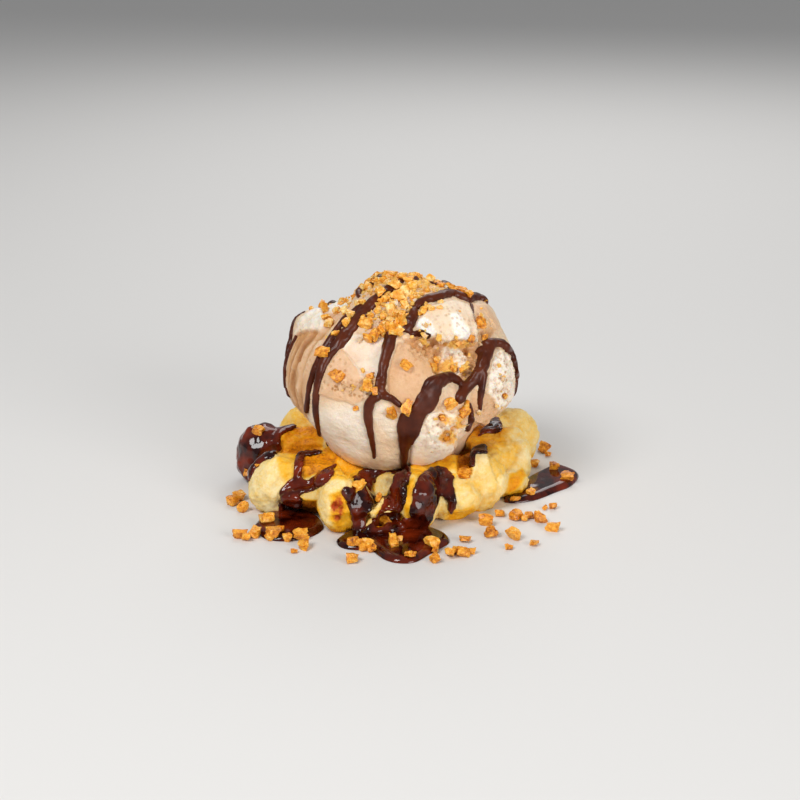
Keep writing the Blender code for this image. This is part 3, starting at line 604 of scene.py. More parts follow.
strandPlan = {
    "height": 1.7 * mm,
    "step": 2.0,  # from one ring of points to the next, in the frame's units
    "spread": 1.1,  # widths were measured inside the soft edges
    "waver": (0.22, 2.2 * mm),  # share of the width, length
    "dropFrom": 5,  # the rings are set on the scoop from this high, in mm
    "sunk": 0.18 * mm,
    "root": 1.0,  # how far a strand reaches into the scoop, in mm
    "voxel": 0.3 * mm,
    "front": {
        "leftOuter": ((306, 311, 1.6), (295, 319, 2.2), (288, 331, 3.0), (285, 345, 3.2), (284, 359, 2.2)),
        "leftEdge": ((297, 335, 2.0), (291, 348, 2.4), (286, 364, 2.6), (285, 380, 2.2), (286, 390, 2.4),
            (288, 399, 3.4)),
        "leftPairOuter": ((366, 304, 4), (345, 321, 4.4), (331, 340, 4.2), (319, 360, 3.8), (311, 382, 3.4),
            (308, 400, 3.2), (307, 413, 3.8)),
        "leftPairInner": ((397, 285, 5), (376, 300, 6.4), (352, 326, 7), (337, 346, 5.8), (325, 362, 5.6),
            (318, 386, 4.2), (316, 408, 3.6), (319, 430, 2.8), (324, 446, 3.0), (326, 451, 3.6)),
        "crestHook": ((374, 285, 3.0), (366, 287, 3.6), (360, 292, 3.8), (359, 298, 3.2)),
        "middle": ((393, 327, 6), (390, 338, 7), (387, 350, 6.4), (383, 366, 5.6), (381, 382, 5.0),
            (379, 395, 6)),
        "middleLeftLeg": ((380, 394, 5), (371, 401, 5), (368, 412, 4.8), (369, 424, 4.2), (372, 441, 3.0),
            (374, 454, 2.2), (374, 459, 2.6)),
        "middleRightLeg": ((381, 394, 5), (392, 399, 3.4), (402, 407, 2.6)),
        "broad": ((462, 384, 4.5), (450, 377, 5.5), (438, 382, 8.5), (431, 391, 11.5), (428, 399, 11),
            (419, 410, 9.5), (411, 420, 12), (408, 432, 10), (405, 444, 6.5), (404, 456, 4.0),
            (404, 470, 3.0)),
        "topBand": ((487, 304, 5), (480, 297, 7), (466, 299, 5.4), (452, 294, 5.0), (438, 297, 5.2),
            (424, 301, 4.6), (415, 309, 4.6)),
        "topBandDrop": ((415, 308, 5), (412, 318, 5.2), (406, 326, 7.4), (409, 333, 5)),
        "topBandTail": ((409, 334, 2.6), (420, 334, 2.0), (431, 338, 1.8)),
        "domeSplit": ((470, 303, 2.6), (472, 309, 1.8), (473, 314, 1.2)),
        "archLeft": ((497, 342, 5.4), (489, 345, 7.0), (484, 356, 8.2), (482, 367, 7.2), (474, 378, 6.2),
            (465, 389, 5.6), (460, 398, 6.4), (460, 404, 5)),
        "archBranch": ((484, 370, 4.6), (482, 386, 4.0), (480, 400, 3.2), (480, 412, 1.8)),
        "archRight": ((492, 342, 6), (503, 345, 5.2), (511, 356, 4.2), (515, 370, 3.8), (516, 385, 3.8),
            (516, 398, 3.4)),
        "archBump": ((514, 359, 3.0), (519, 360, 3.4)),
        "archBumpLow": ((517, 382, 2.8), (521, 383, 3.0)),
        "shortDrip": ((469, 402, 2.2), (471, 412, 2.6), (470, 422, 3.4), (466, 431, 3.6)),
        "crestDark": ((398, 283, 3.0), (408, 280, 3.4), (419, 279, 3.0)),
        "crestDarkRight": ((427, 281, 1.8), (438, 285, 1.6)),
    },
    "behind": {
        "behindLong": ((420, 288, 5), (405, 305, 6), (392, 330, 6.5), (384, 360, 6), (380, 395, 5),
            (378, 430, 4)),
        "behindBroad": ((360, 292, 5), (348, 312, 8), (340, 338, 9), (334, 366, 7), (331, 392, 5),
            (330, 412, 4)),
        "behindRight": ((466, 334, 4), (471, 348, 6), (476, 372, 5), (478, 400, 4)),
        "behindDrip": ((430, 330, 5), (434, 356, 5.5), (437, 384, 4.5), (438, 408, 3.6)),
        "behindLeft": ((318, 320, 4), (308, 342, 5), (302, 366, 4.5), (301, 388, 3.8)),
    },
}


def strand(name, surface, guide, points, behind=False):
    waver, waverLength = strandPlan["waver"]
    dropFrom = strandPlan["dropFrom"]
    shares = np.linspace(-1, 1, 11)
    rings = []
    path = evenPath(smoothPath(points, 8), strandPlan["step"])
    spots = [pointSeen(surface, p.x, p.y, behind)[0] for p, _, _ in path]
    for i, (p, fromStart, toEnd) in enumerate(path):
        half = p.z * unit * strandPlan["spread"]
        run = min(fromStart, toEnd) * unit
        tip = math.sqrt(max(0.0, 1 - (1 - min(1.0, run / half)) ** 2)) if half else 0.0
        tip = max(tip, 0.25)
        wide = half * tip * (1 + waver * softNoise.noise(spots[i] / waverLength))
        rise = min(strandPlan["height"], half * 1.15) * (0.35 + 0.65 * tip)
        before, after = spots[max(i - 2, 0)], spots[min(i + 2, len(spots) - 1)]
        _, normal, _, _ = guide.find_nearest(spots[i])
        side = normal.cross(after - before).normalized()
        ring = []
        for share in shares:
            top = spots[i] + side * wide * share + normal * dropFrom * mm
            hit = surface.ray_cast(top, -normal, 12 * mm)[0]
            base = hit if hit else surface.find_nearest(top - normal * dropFrom * mm)[0]
            ring.append(base + normal * (rise * math.sqrt(1 - share * share) ** 0.8 - strandPlan["sunk"]))
        for share in (0.8, 0.0, -0.8):
            ring.append(spots[i] + side * wide * share - normal * strandPlan["root"] * mm)
        rings.append(ring)
    count = len(rings[0])
    points3d = [p for ring in rings for p in ring]
    faces = []
    for i in range(len(rings) - 1):
        for j in range(count):
            k = (j + 1) % count
            faces.append((i * count + j, i * count + k, (i + 1) * count + k, (i + 1) * count + j))
    faces.append(tuple(range(count))[::-1])
    faces.append(tuple((len(rings) - 1) * count + j for j in range(count)))
    return meshFrom(name, points3d, faces)


def makeStrands(scoop, guide):
    surface = surfaceOf(scoop)
    made = [strand(name, surface, guide, points) for name, points in strandPlan["front"].items()]
    made += [strand(name, surface, guide, points, True) for name, points in strandPlan["behind"].items()]
    sauce = joinAll(made, "sauceStrands")
    remesh(sauce, strandPlan["voxel"], 5)
    return sauce


# Waffle: ridges that cross in a grid, joined half way up by a thin web, with pale rounded ends

wafflePlan = {
    "height": 16.2 * mm,
    "settle": 0.7 * mm,
    "ridgeWidth": 12.0 * mm,
    "ridgeRounding": 3.6 * mm,
    "web": (4.8 * mm, 9.6 * mm, 37.0 * mm),
    "voxel": 0.66 * mm,
    "ridges": {
        "leftFront": ((-33.5, -21.0), (25.0, -21.5)),
        "leftMiddle": ((-37.5, 2.5), (33.5, 0.0)),
        "leftBack": ((-26.5, 22.5), (37.5, 18.5)),
        "frontLeft": ((-14.3, -33.0), (-14.0, 36.0)),
        "frontRight": ((7.2, -33.0), (12.5, 37.5)),
        "right": ((26.5, -17.5), (30.5, 23.0)),
    },
    "lobes": {
        "leftFrontEnd": (-33.2, -21.0, 7.8, 7.6),
        "leftMiddleEnd": (-37.6, 3.0, 7.8, 7.6),
        "leftBackEnd": (-26.5, 22.5, 7.6, 7.6),
        "frontLeftEnd": (-14.3, -37.2, 5.4, 6.4),
        "frontRightEnd": (6.7, -34.8, 7.1, 7.6),
        "armEnd": (26.0, -18.0, 7.6, 7.6),
        "rightEnd": (34.5, 0.5, 8.0, 9.0),
        "rightBackEnd": (37.5, 19.0, 8.2, 8.0),
        "cornerEnd": (31.0, 24.5, 7.6, 7.6),
        "backLeftEnd": (-14.0, 36.0, 8.2, 8.2),
        "backRightEnd": (12.5, 37.5, 8.2, 8.2),
    },
    "spills": {
        "betweenFrontLobes": ((-3.0, -31.0, 7.2), (13.0, 10.5, 2.4)),
        "frontLeftFlank": ((-9.6, -35.4, 6.6), (4.6, 6.2, 6.8)),
        "hollowFloor": ((-3.0, -36.0, 2.4), (9.0, 8.0, 2.8)),
        "leftFrontCorner": ((-23.0, -27.0, 7.2), (8.0, 6.0, 2.2)),
        "rightFrontCorner": ((18.0, -27.0, 6.6), (8.5, 7.0, 6.4)),
        "rightRim": ((34.0, -8.0, 4.2), (7.0, 7.5, 4.0)),
    },
    "crater": ((-13.8, -46.0, 7.6), (2.4, 3.2, 4.4)),
    "unevenness": 0.9 * mm,
    "unevennessSize": 11.0 * mm,
    "lumps": ((6.0 * mm, 0.76 * mm, 5.0), (2.3 * mm, 0.26 * mm, 15.0)),  # size, height, shift of the noise
    # pressed faces, rims and hollows: reach in Y in mm, then as for the ice cream, from pale to baked; the
    # deepest hollows are painted dark as painted shade
    "zones": {
        "frontLeftTop": ((-42, -16), (0.55, 0.0, 3, ((330, 466), (352, 465), (366, 473), (357, 481),
            (338, 488), (328, 484)))),
        "leftEnd": ((-34, -8), (0.10, 0.0, 3, ((276, 456), (256, 468), (248, 486), (252, 504), (262, 515),
            (280, 515), (284, 500), (280, 488), (280, 472)))),
        "leftEndTop": ((-34, -8), (0.42, 0.2, 2.5, ((276, 458), (284, 454), (297, 455), (296, 476),
            (286, 482), (280, 476)))),
        "leftPressed": ((-34, -6), (0.86, -0.8, 1.4, ((303, 456), (316, 452), (334, 453), (337, 464),
            (330, 470), (316, 473), (304, 479), (299, 474)))),
        "middlePressed": ((-10, 20), (0.78, -0.8, 1.4, ((279, 442), (288, 431), (298, 427), (314, 427),
            (323, 440), (322, 450), (300, 455), (282, 453)))),
        "backEnd": ((8, 40), (0.30, 0.0, 3, ((280, 428), (286, 412), (294, 403), (304, 410), (310, 426)))),
        "leftCrumb": ((-40, -18), (0.24, 0.3, 1.5, ((302, 491), (322, 489), (324, 499), (304, 501)))),
        # painted shade: the inner wall of the gap under the left lobe, sunk and painted the darkest amber
        "leftInnerWallShade": ((-44, -16), (1.0, -2.6, 1.8, ((282, 499), (300, 499), (322, 501), (322, 516),
            (296, 520), (280, 520)))),
        "frontLeftRim": ((-50, -26), (0.18, 0.2, 2, ((320, 484), (338, 478), (352, 480), (350, 492),
            (334, 492), (328, 504), (334, 528), (324, 522), (316, 504)))),
        "frontLeftMouth": ((-50, -26), (0.62, -0.4, 3, ((331, 495), (340, 490), (349, 500), (352, 520),
            (350, 536), (338, 534), (331, 518)))),
        "frontSeat": ((-36, -14), (0.55, -2.6, 3, ((338, 458), (352, 452), (400, 452), (411, 458),
            (407, 472), (392, 475), (370, 477), (352, 474)))),
        "frontPocket": ((-50, -18), (0.45, -1.8, 4, ((372, 474), (394, 468), (410, 470), (408, 486),
            (404, 504), (392, 512), (374, 512)))),
        "almond": ((-50, -18), (0.16, 0.2, 2, ((373, 497), (376, 480), (386, 472), (394, 475), (390, 489),
            (382, 498)))),
        # painted shade: the hollow under the front lobes, sunk and painted dark amber
        "frontHollowShade": ((-50, -16), (0.95, -3.2, 2.0, ((366, 514), (384, 511), (398, 512), (402, 519),
            (384, 522), (366, 523)))),
        # the floor of that hollow: darkest amber, partly dough soaked in sauce and partly painted shade under
        # the overhang
        "hollowFloor": ((-50, -16), (1.0, 0.0, 2.0, ((364, 523), (384, 522), (402, 519), (410, 532),
            (394, 538), (364, 538)))),
        "frontRightRim": ((-50, -18), (0.66, 0.0, 2, ((408, 480), (414, 478), (412, 500), (409, 514),
            (413, 532), (406, 526), (404, 504)))),
        "frontRightDough": ((-50, -18), (0.22, 0.2, 2, ((438, 500), (448, 498), (450, 514), (444, 530),
            (430, 534), (432, 520)))),
        "underScoop": ((-42, -6), (0.56, 0.0, 4, ((404, 470), (424, 460), (448, 446), (470, 436),
            (476, 452), (466, 472), (440, 468), (420, 474)))),
        # painted shade: the deep pocket beside the arm, sunk and painted dark amber
        "deepPocketShade": ((-34, -4), (0.88, -3.4, 2.2, ((456, 450), (466, 441), (474, 446), (472, 462),
            (470, 474), (458, 474)))),
        "armTop": ((-36, -4), (0.10, 0.5, 2, ((472, 458), (475, 449), (486, 448), (490, 462), (484, 474),
            (474, 472)))),
        "arm": ((-40, -4), (0.22, 0.2, 3, ((454, 480), (472, 480), (490, 468), (504, 488), (504, 500),
            (490, 514), (474, 508), (458, 516), (448, 512)))),
        "armFoot": ((-44, -10), (0.58, -0.8, 2.5, ((437, 534), (447, 517), (450, 510), (462, 510),
            (474, 508), (466, 520), (452, 528)))),
        "hollowRim": ((-50, -18), (0.20, 0.6, 1.5, ((381, 495), (387, 498), (378, 513), (370, 531),
            (362, 533), (367, 518)))),
        "rightPressed": ((-26, 16), (0.34, -0.9, 1.8, ((470, 438), (490, 433), (508, 434), (521, 446),
            (518, 460), (507, 472), (498, 478), (490, 463), (486, 450), (476, 447)))),
        "rightAmber": ((-26, 16), (0.52, -0.9, 3, ((468, 438), (486, 434), (503, 436), (505, 445),
            (492, 450), (474, 452)))),
        "rightRim": ((-28, 16), (0.10, 0.4, 2.2, ((508, 433), (526, 441), (531, 458), (523, 470),
            (508, 482), (502, 492), (498, 480), (508, 470), (519, 460), (522, 447)))),
        "rightLump": ((-30, 10), (0.74, 0.3, 1.8, ((508, 486), (510, 474), (522, 469), (526, 476),
            (518, 488), (508, 493)))),
        "rightBackEnd": ((2, 34), (0.24, 0.0, 3, ((498, 412), (520, 414), (535, 424), (540, 438),
            (530, 450), (520, 440), (506, 434), (498, 432)))),
    },
}


def ball(name, middle, half, segments=32, rings=20):
    bpy.ops.mesh.primitive_uv_sphere_add(segments=segments, ring_count=rings, radius=1.0, location=middle)
    obj = bpy.context.object
    obj.name = name
    obj.scale = half
    settle(obj)
    return obj


def ridge(name, start, end):
    start, end = Vector((*start, 0.0)) * mm, Vector((*end, 0.0)) * mm
    run = end - start
    height = wafflePlan["height"]
    bpy.ops.mesh.primitive_cube_add(size=1.0, location=(start + end) / 2 + Vector((0, 0, height / 2)))
    bar = bpy.context.object
    bar.name = name
    bar.scale = (run.length, wafflePlan["ridgeWidth"], height)
    bpy.ops.object.transform_apply(location=False, rotation=False, scale=True)
    bevel = bar.modifiers.new("rounding", "BEVEL")
    bevel.width = wafflePlan["ridgeRounding"]
    bevel.segments = 4
    applyAll(bar)
    bar.rotation_euler.z = math.atan2(run.y, run.x)
    settle(bar)
    return bar


def cutAway(obj, cutter):
    cut = obj.modifiers.new("cut", "BOOLEAN")
    cut.operation = "DIFFERENCE"
    cut.solver = "MANIFOLD"
    cut.object = cutter
    applyAll(obj)
    bpy.data.objects.remove(cutter)


def makeWaffle():
    low, high, radius = wafflePlan["web"]
    bpy.ops.mesh.primitive_cylinder_add(vertices=64, radius=radius, depth=high - low,
                                        location=(0, 0, (low + high) / 2))
    web = bpy.context.object
    settle(web)
    pieces = [web] + [ridge(name, *ends) for name, ends in wafflePlan["ridges"].items()]
    tall = wafflePlan["height"] / 2
    for name, (across, back, halfWidth, halfDepth) in wafflePlan["lobes"].items():
        pieces.append(ball(name, (across * mm, back * mm, tall),
                           (halfWidth * mm, halfDepth * mm, tall + 1.0 * mm)))
    for name, (middle, half) in wafflePlan["spills"].items():
        pieces.append(ball(name, Vector(middle) * mm, Vector(half) * mm))
    waffle = joinAll(pieces, "waffleBody")
    remesh(waffle, wafflePlan["voxel"], 9)
    points, normals = getPoints(waffle), getNormals(waffle)
    uneven = cloud(points, wafflePlan["unevennessSize"]) * wafflePlan["unevenness"]
    lumps = sum(crumble(points, size, 4, shift) * height for size, height, shift in wafflePlan["lumps"])
    _, lift = waffleZones(points, normals, 0.0)
    lift -= tornMouth(points) * (0.8 + 1.6 * crumble(points, 1.8 * mm, 3, 21.0)) * mm
    setPoints(waffle,
              points + normals * (uneven + lumps + lift)[:, None] - np.array((0, 0, wafflePlan["settle"])))

    middle, half = wafflePlan["crater"]
    cutAway(waffle, ball("crater", Vector(middle) * mm, Vector(half) * mm, 48, 32))
    seat = ball("seat", scoopPlan["middle"], Vector(scoopPlan["half"]) + Vector((0.3, 0.3, 0.3)) * mm, 96, 64)
    seatPoints = scoopForm(getPoints(seat))[0]
    seatPoints[:, 2] = np.maximum(seatPoints[:, 2], scoopPlan["foot"] - 0.3 * mm)
    setPoints(seat, seatPoints)
    cutAway(waffle, seat)
    bpy.ops.mesh.primitive_cube_add(size=0.2, location=(0, 0, -0.1))
    underFloor = bpy.context.object
    settle(underFloor)
    cutAway(waffle, underFloor)
    return waffle


def tornMouth(points):  # where the front left lobe burst in the iron and caught
    x, y = pictureOf(points)
    return patches(x, y, ((337, 509, 9, 17, 0, 1.0),)) * ease(0, 6, -points[:, 1] / mm - 34)


def waffleZones(points, normals, bake):
    x, y = pictureOf(points)
    facing = facingShare(points, normals, -0.05, 0.20)
    wobble, sway = cloud(points, 4 * mm, 17.0) * 1.5, cloud(points, 4 * mm, 43.0) * 1.5
    bake, lift = bake + np.zeros(len(points)), np.zeros(len(points))
    for name, ((near, far), zone) in wafflePlan["zones"].items():
        reach = ease(near, near + 2, points[:, 1] / mm) * ease(0, 2, far - points[:, 1] / mm)
        bake, lift = paintZones(x + wobble, y + sway, {name: zone}, facing * reach, bake, lift)
    return bake, lift


def paintWaffle(waffle):  # how far each point is baked, from pale dough to deep amber
    points, normals = getPoints(waffle), getNormals(waffle)
    away = np.hypot(points[:, 0], points[:, 1]) / mm + cloud(points, 7 * mm, 3.0) * 5
    high = points[:, 2] / mm
    iron = ease(0.55, 0.9, normals[:, 2]) * ease(11.5, 13.5, high)
    tops = iron * ease(0, 7, 39 - away)
    inside = ease(0, 8, 35 - away) * ease(0, 3, 13 - high)
    foot = ease(0, 3.5, 4.5 - high) * 0.45
    bake, _ = waffleZones(points, normals, 0.18 + 0.62 * tops + 0.42 * inside + foot)
    bake += 0.08 * cloud(points, 4 * mm, 8.0)
    burn = tornMouth(points) ** 2.4 * (1.05 + 0.9 * crumble(points, 2.6 * mm, 3, 27.0))
    setValue(waffle, "bake", np.clip(bake, 0, 1))
    setValue(waffle, "burn", np.clip(burn, 0, 1))


# Wet chocolate coats on the waffle: how far they reach in Y, in mm, and their outlines

coatPlan = {
    "height": 1.0 * mm,
    "edge": 2.2,  # width of the rounded edge, in the frame's units
    "spread": 1.2,  # the outlines were read inside the shine of the edge
    "sunk": 0.12 * mm,
    "thickness": 1.3 * mm,
    "voxel": 0.34 * mm,
    "coats": {
        "leftMiddleCap": (
            (-30.0, 13.0),
            ((296, 427), (287, 424), (273, 421), (262, 421), (247, 426), (234, 439), (226, 455), (226, 469),
             (236, 479), (247, 482), (254, 469), (260, 463), (267, 459), (278, 453), (281, 448), (280, 440),
             (283, 434), (291, 431)),
        ),
        "leftStrand": (
            (-32.0, 8.0),
            ((321, 450), (310, 450), (300, 453), (296, 457), (294, 467), (293, 480), (299, 482), (302, 471),
             (304, 461), (306, 457), (316, 455), (322, 453)),
        ),
        "leftPocket": (
            (-36.0, -8.0),
            ((336, 464), (332, 468), (324, 471), (310, 478), (301, 480), (293, 478), (286, 484), (279, 491),
             (283, 499), (294, 500), (302, 494), (311, 491), (322, 487), (330, 480), (334, 473)),
        ),
        "frontPocket": (
            (-48.0, -20.0),
            ((354, 478), (362, 471), (380, 464), (395, 462), (411, 468), (408, 481), (406, 491), (405, 503),
             (399, 513), (388, 519), (380, 521), (375, 528), (368, 536), (359, 540), (350, 538), (352, 525),
             (350, 511), (345, 499), (341, 492), (345, 487), (352, 489), (354, 484)),
        ),
        "hollowSauce": (
            (-50.0, -28.0),
            ((363, 531), (376, 530), (386, 526), (390, 519), (404, 518), (413, 528), (412, 538), (396, 541),
             (363, 540)),
        ),
        # sauce running down the gap under the left lobe, laid there also to darken the gap as painted shade
        "leftFallAndShade": (
            (-44.0, -12.0),
            ((281, 497), (300, 498), (302, 505), (297, 510), (294, 522), (279, 522), (279, 508)),
        ),
        "frontRightCap": (
            (-48.0, -18.0),
            ((420, 475), (428, 470), (441, 467), (450, 471), (454, 478), (453, 485), (455, 492), (457, 500),
             (456, 507), (452, 513), (449, 511), (448, 504), (445, 499), (440, 494), (437, 502), (433, 513),
             (428, 524), (424, 537), (417, 539), (411, 525), (410, 513), (412, 499), (415, 485)),
        ),
        "armStreak": (
            (-30.0, -6.0),
            ((470, 468), (470, 456), (476, 448), (486, 446), (487, 453), (478, 453), (475, 458),
             (474, 466)),
        ),
        "rightBackDab": (
            (-12.0, 14.0),
            ((478, 435), (484, 428), (494, 416), (500, 422), (501, 431), (488, 433)),
        ),
    },
    # places left clear, an almond shape and the edge below it: across, down, halves, turn
    "bare": ((384, 484, 7.6, 13.5, 28), (374, 513, 2.6, 19.0, 32)),
}


def makeCoats(waffle):
    points, normals = getPoints(waffle), getNormals(waffle)
    x, y = pictureOf(points)
    wobble = cloud(points, 2.5 * mm, 6.0) * 1.0
    depth = np.full(len(points), -9.0)
    for (near, far), outline in coatPlan["coats"].values():
        path = [(p.x, p.y) for p in smoothPath([(*p, 0.0) for p in (*outline, outline[0])], 4)[:-1]]
        gap = outlineDistance(x + wobble, y + wobble, path) + coatPlan["spread"]
        gap = np.where((points[:, 1] > near * mm) & (points[:, 1] < far * mm), gap, -9.0)
        depth = np.maximum(depth, gap)
    for oval in coatPlan["bare"]:
        u, v = inOval(x, y, *oval)
        depth = np.minimum(depth, (np.hypot(u, v) - 1) * min(oval[2:4]))
    share = np.clip(depth / coatPlan["edge"], 0, 1)
    rise = coatPlan["height"] * np.sqrt(1 - (1 - share) ** 2) * (1 + 0.25 * cloud(points, 4 * mm, 11.0))

    coat = copyOf(waffle)
    coat.name = "sauceCoats"
    sunk = coatPlan["sunk"]
    setPoints(coat, points + normals * np.where(depth > 0, rise - sunk, -sunk)[:, None])
    shell = bmesh.new()
    shell.from_mesh(coat.data)
    shell.verts.ensure_lookup_table()
    bare = [v for v in shell.verts if depth[v.index] < -0.8]
    bmesh.ops.delete(shell, geom=bare, context="VERTS")
    shell.to_mesh(coat.data)
    shell.free()
    thick = coat.modifiers.new("thick", "SOLIDIFY")
    thick.thickness = coatPlan["thickness"]
    thick.offset = -1
    applyAll(coat)
    remesh(coat, coatPlan["voxel"], 12)
    keepAbove(coat)
    return coat


# Sauce pools on the plane that the waffle rests on

poolPlan = {
    "height": 1.7 * mm,
    "edge": 2.6 * mm,
    "voxel": 0.4 * mm,
    "pools": {
        "sauce_pool_front": (
            (336, 540), (339, 545), (347, 548), (359, 549), (372, 550), (378, 554), (386, 559), (399, 562),
            (415, 561), (428, 554), (439, 548), (449, 542), (448, 536), (440, 531), (420, 525), (395, 521),
            (368, 525), (348, 532),
        ),
        "sauce_pool_left": (
            (253, 527), (264, 537), (280, 540), (297, 539), (310, 536), (320, 531), (324, 525), (318, 517),
            (305, 511), (280, 509), (262, 517),
        ),
        "sauce_pool_right": (
            (504, 501), (514, 502), (535, 499), (556, 491), (569, 486), (577, 479), (578, 473), (570, 469),
            (556, 465), (543, 470), (528, 478), (517, 487), (506, 493),
        ),
    },
}


def makePool(name, outline):
    path = smoothPath([(*p, 0.0) for p in (*outline, outline[0])], 6)[:-1]
    places = [groundSeen(p.x, p.y, 0.5 * mm) for p in path]
    obj = meshFrom("saucePool" + name.split("_")[-1].title(),
                   [(p.x, p.y, 0.0) for p in places], [tuple(range(len(places)))])
    editAll(obj)
    bpy.ops.mesh.extrude_region_move(TRANSFORM_OT_translate={"value": (0, 0, poolPlan["height"])})
    bpy.ops.mesh.select_all(action="SELECT")
    bpy.ops.mesh.normals_make_consistent(inside=False)
    bpy.ops.object.mode_set(mode="OBJECT")
    remesh(obj, poolPlan["voxel"], 0)
    points = getPoints(obj)
    gap = outlineDistance(points[:, 0], points[:, 1], [(p.x, p.y) for p in places])
    share = np.clip(gap / poolPlan["edge"], 0.0, 1)
    top = poolPlan["height"] * np.sqrt(1 - (1 - share) ** 2)
    top *= 1 + 0.12 * cloud(points * (1, 1, 0), 6 * mm)
    points[:, 2] = points[:, 2] / poolPlan["height"] * np.maximum(top, 0.25 * mm)
    points[:, 2] = np.clip(points[:, 2], 0.0, None)
    setPoints(obj, points)
    soften = obj.modifiers.new("soften", "SMOOTH")
    soften.iterations = 3
    applyAll(obj)
    keepAbove(obj)
    return obj


# Toffee chips: broken pieces of a few shapes, placed by where they show

chipPlan = {
    "shapes": 7,
    # real size as a share of the width that shows
    "sizes": {"heap": 0.76, "scoop": 0.84, "waffle": 0.86, "pools": 0.86, "fallen": 0.9},
    "scoop": (
        (372, 278, 11), (368, 288, 13), (383, 283, 15), (391, 276, 13), (398, 293, 11), (346, 302, 8),
        (338, 312, 11), (351, 315, 11), (347, 323, 10), (336, 334, 8), (330, 324, 12), (324, 353, 14),
        (338, 376, 13), (367, 325, 15), (371, 316, 8), (376, 335, 14), (385, 327, 13), (393, 333, 12),
        (391, 312, 14), (363, 303, 8), (371, 377, 10), (368, 386, 12), (375, 391, 9), (356, 408, 6),
        (391, 412, 13), (407, 406, 13), (406, 366, 12), (424, 312, 12), (432, 368, 9), (434, 361, 8),
        (449, 403, 14), (463, 411, 14), (479, 323, 12), (461, 289, 14), (469, 295, 11), (488, 297, 5),
        (401, 278, 11), (408, 281, 13), (421, 275, 8), (398, 298, 15), (412, 288, 14), (399, 315, 14),
        (398, 331, 12), (458, 342, 9), (452, 369, 8), (462, 370, 7), (484, 339, 8), (504, 396, 7),
        (430, 280, 8), (440, 287, 9), (450, 288, 9), (380, 292, 11), (387, 300, 12), (405, 306, 11),
        (378, 311, 9), (392, 322, 12), (384, 318, 9), (404, 322, 9), (414, 298, 9), (427, 291, 8),
        (457, 283, 9), (471, 339, 7), (466, 404, 8), (446, 437, 8), (442, 418, 6), (376, 282, 9),
        (395, 286, 12), (404, 290, 11), (386, 274, 8),
    ),
    "scoopBehind": (
        (350, 330, 12), (412, 345, 12), (446, 318, 11), (322, 362, 10), (396, 410, 12), (460, 392, 10),
        (372, 378, 9), (400, 300, 13), (380, 290, 12), (420, 296, 12), (440, 300, 10), (360, 300, 11),
        (408, 316, 11), (388, 312, 10), (430, 312, 9), (340, 350, 10), (470, 350, 9), (425, 380, 9),
    ),
    # long pieces: where each runs, its thickness
    "shards": (
        (((320, 302), (324, 311), (328, 320)), 2.6 * mm),
        (((369, 340), (376, 336), (383, 333), (390, 329), (397, 325), (402, 321)), 3.0 * mm),
    ),
    "heap": (394, 296, 27, 16),  # middle and spread of the crumbly heap on the crest
    "crestCrumbs": 170,
    "iceCrumbs": 300,
    "strayCrumbs": 8,  # on each crumbly place
    "waffle": (
        (259, 434, 12), (249, 470, 11), (357, 487, 14), (385, 524, 14), (467, 474, 14), (381, 499, 8),
        (258, 466, 5),
    ),
    "pools": {
        "sauce_pool_front": (
            (353, 543, 12), (360, 545, 12), (368, 545, 12), (364, 549, 12), (372, 550, 9), (394, 544, 15),
            (410, 556, 12), (431, 544, 14), (435, 551, 10), (399, 540, 8),
        ),
        "sauce_pool_left": (
            (267, 521, 15), (274, 534, 15), (280, 530, 10), (287, 539, 10), (300, 536, 14), (270, 538, 9),
        ),
        "sauce_pool_right": ((554, 468, 15), (568, 478, 13), (531, 493, 8), (515, 500, 10)),
    },
    "fallen": (  # beside the waffle
        (240, 534, 14), (254, 533, 13), (304, 544, 13), (294, 551, 7), (243, 508, 12), (233, 501, 12),
        (239, 496, 13), (352, 558, 14), (435, 559, 10), (450, 553, 13), (462, 553, 12), (472, 551, 8),
        (465, 539, 10), (492, 533, 12), (514, 535, 14), (509, 547, 8), (534, 543, 9), (554, 527, 12),
        (553, 506, 9), (545, 508, 6), (516, 516, 13), (529, 516, 9), (539, 518, 12), (499, 514, 9),
        (486, 521, 13), (535, 464, 10), (544, 448, 13), (548, 454, 8), (245, 537, 10), (457, 550, 9),
        (523, 518, 9),
    ),
}


def chipShapes():
    made = []
    for number in range(chipPlan["shapes"]):
        bpy.ops.mesh.primitive_cube_add(size=1.0)
        chip = bpy.context.object
        chip.name = f"chipShape{number}"
        points = getPoints(chip)
        points += np.array([[random.uniform(-0.22, 0.22) for _ in range(3)] for _ in points])
        setPoints(chip, points)
        editAll(chip)
        bpy.ops.mesh.subdivide(number_cuts=2)
        bpy.ops.object.mode_set(mode="OBJECT")
        points = getPoints(chip)
        points *= (1.16 - 0.34 * np.linalg.norm(points, axis=1))[:, None]  # corners knocked off
        points += np.array([[random.uniform(-0.10, 0.10) for _ in range(3)] for _ in points])
        setPoints(chip, points)
        made.append(chip)
    return made


def placeChip(shapes, place, normal, size, sink=0.22, squash=None, pale=0.0):
    chip = copyOf(random.choice(shapes))
    setValue(chip, "pale", np.full(len(chip.data.vertices), pale + random.uniform(-0.05, 0.06)))
    squash = squash or (random.uniform(1.0, 1.25), random.uniform(0.65, 1.0), random.uniform(0.55, 0.85))
    nod = Matrix.Rotation(random.uniform(-0.7, 0.7), 4, "X")
    lean = nod @ Matrix.Rotation(random.uniform(0, 6.28), 4, "Z")
    upright = normal.to_track_quat("Z", "Y").to_matrix().to_4x4()
    lifted = place + normal * size * (0.4 - sink)
    sized = Matrix.Diagonal([size * s for s in squash] + [1])
    chip.data.transform(Matrix.Translation(lifted) @ upright @ lean @ sized)
    return chip


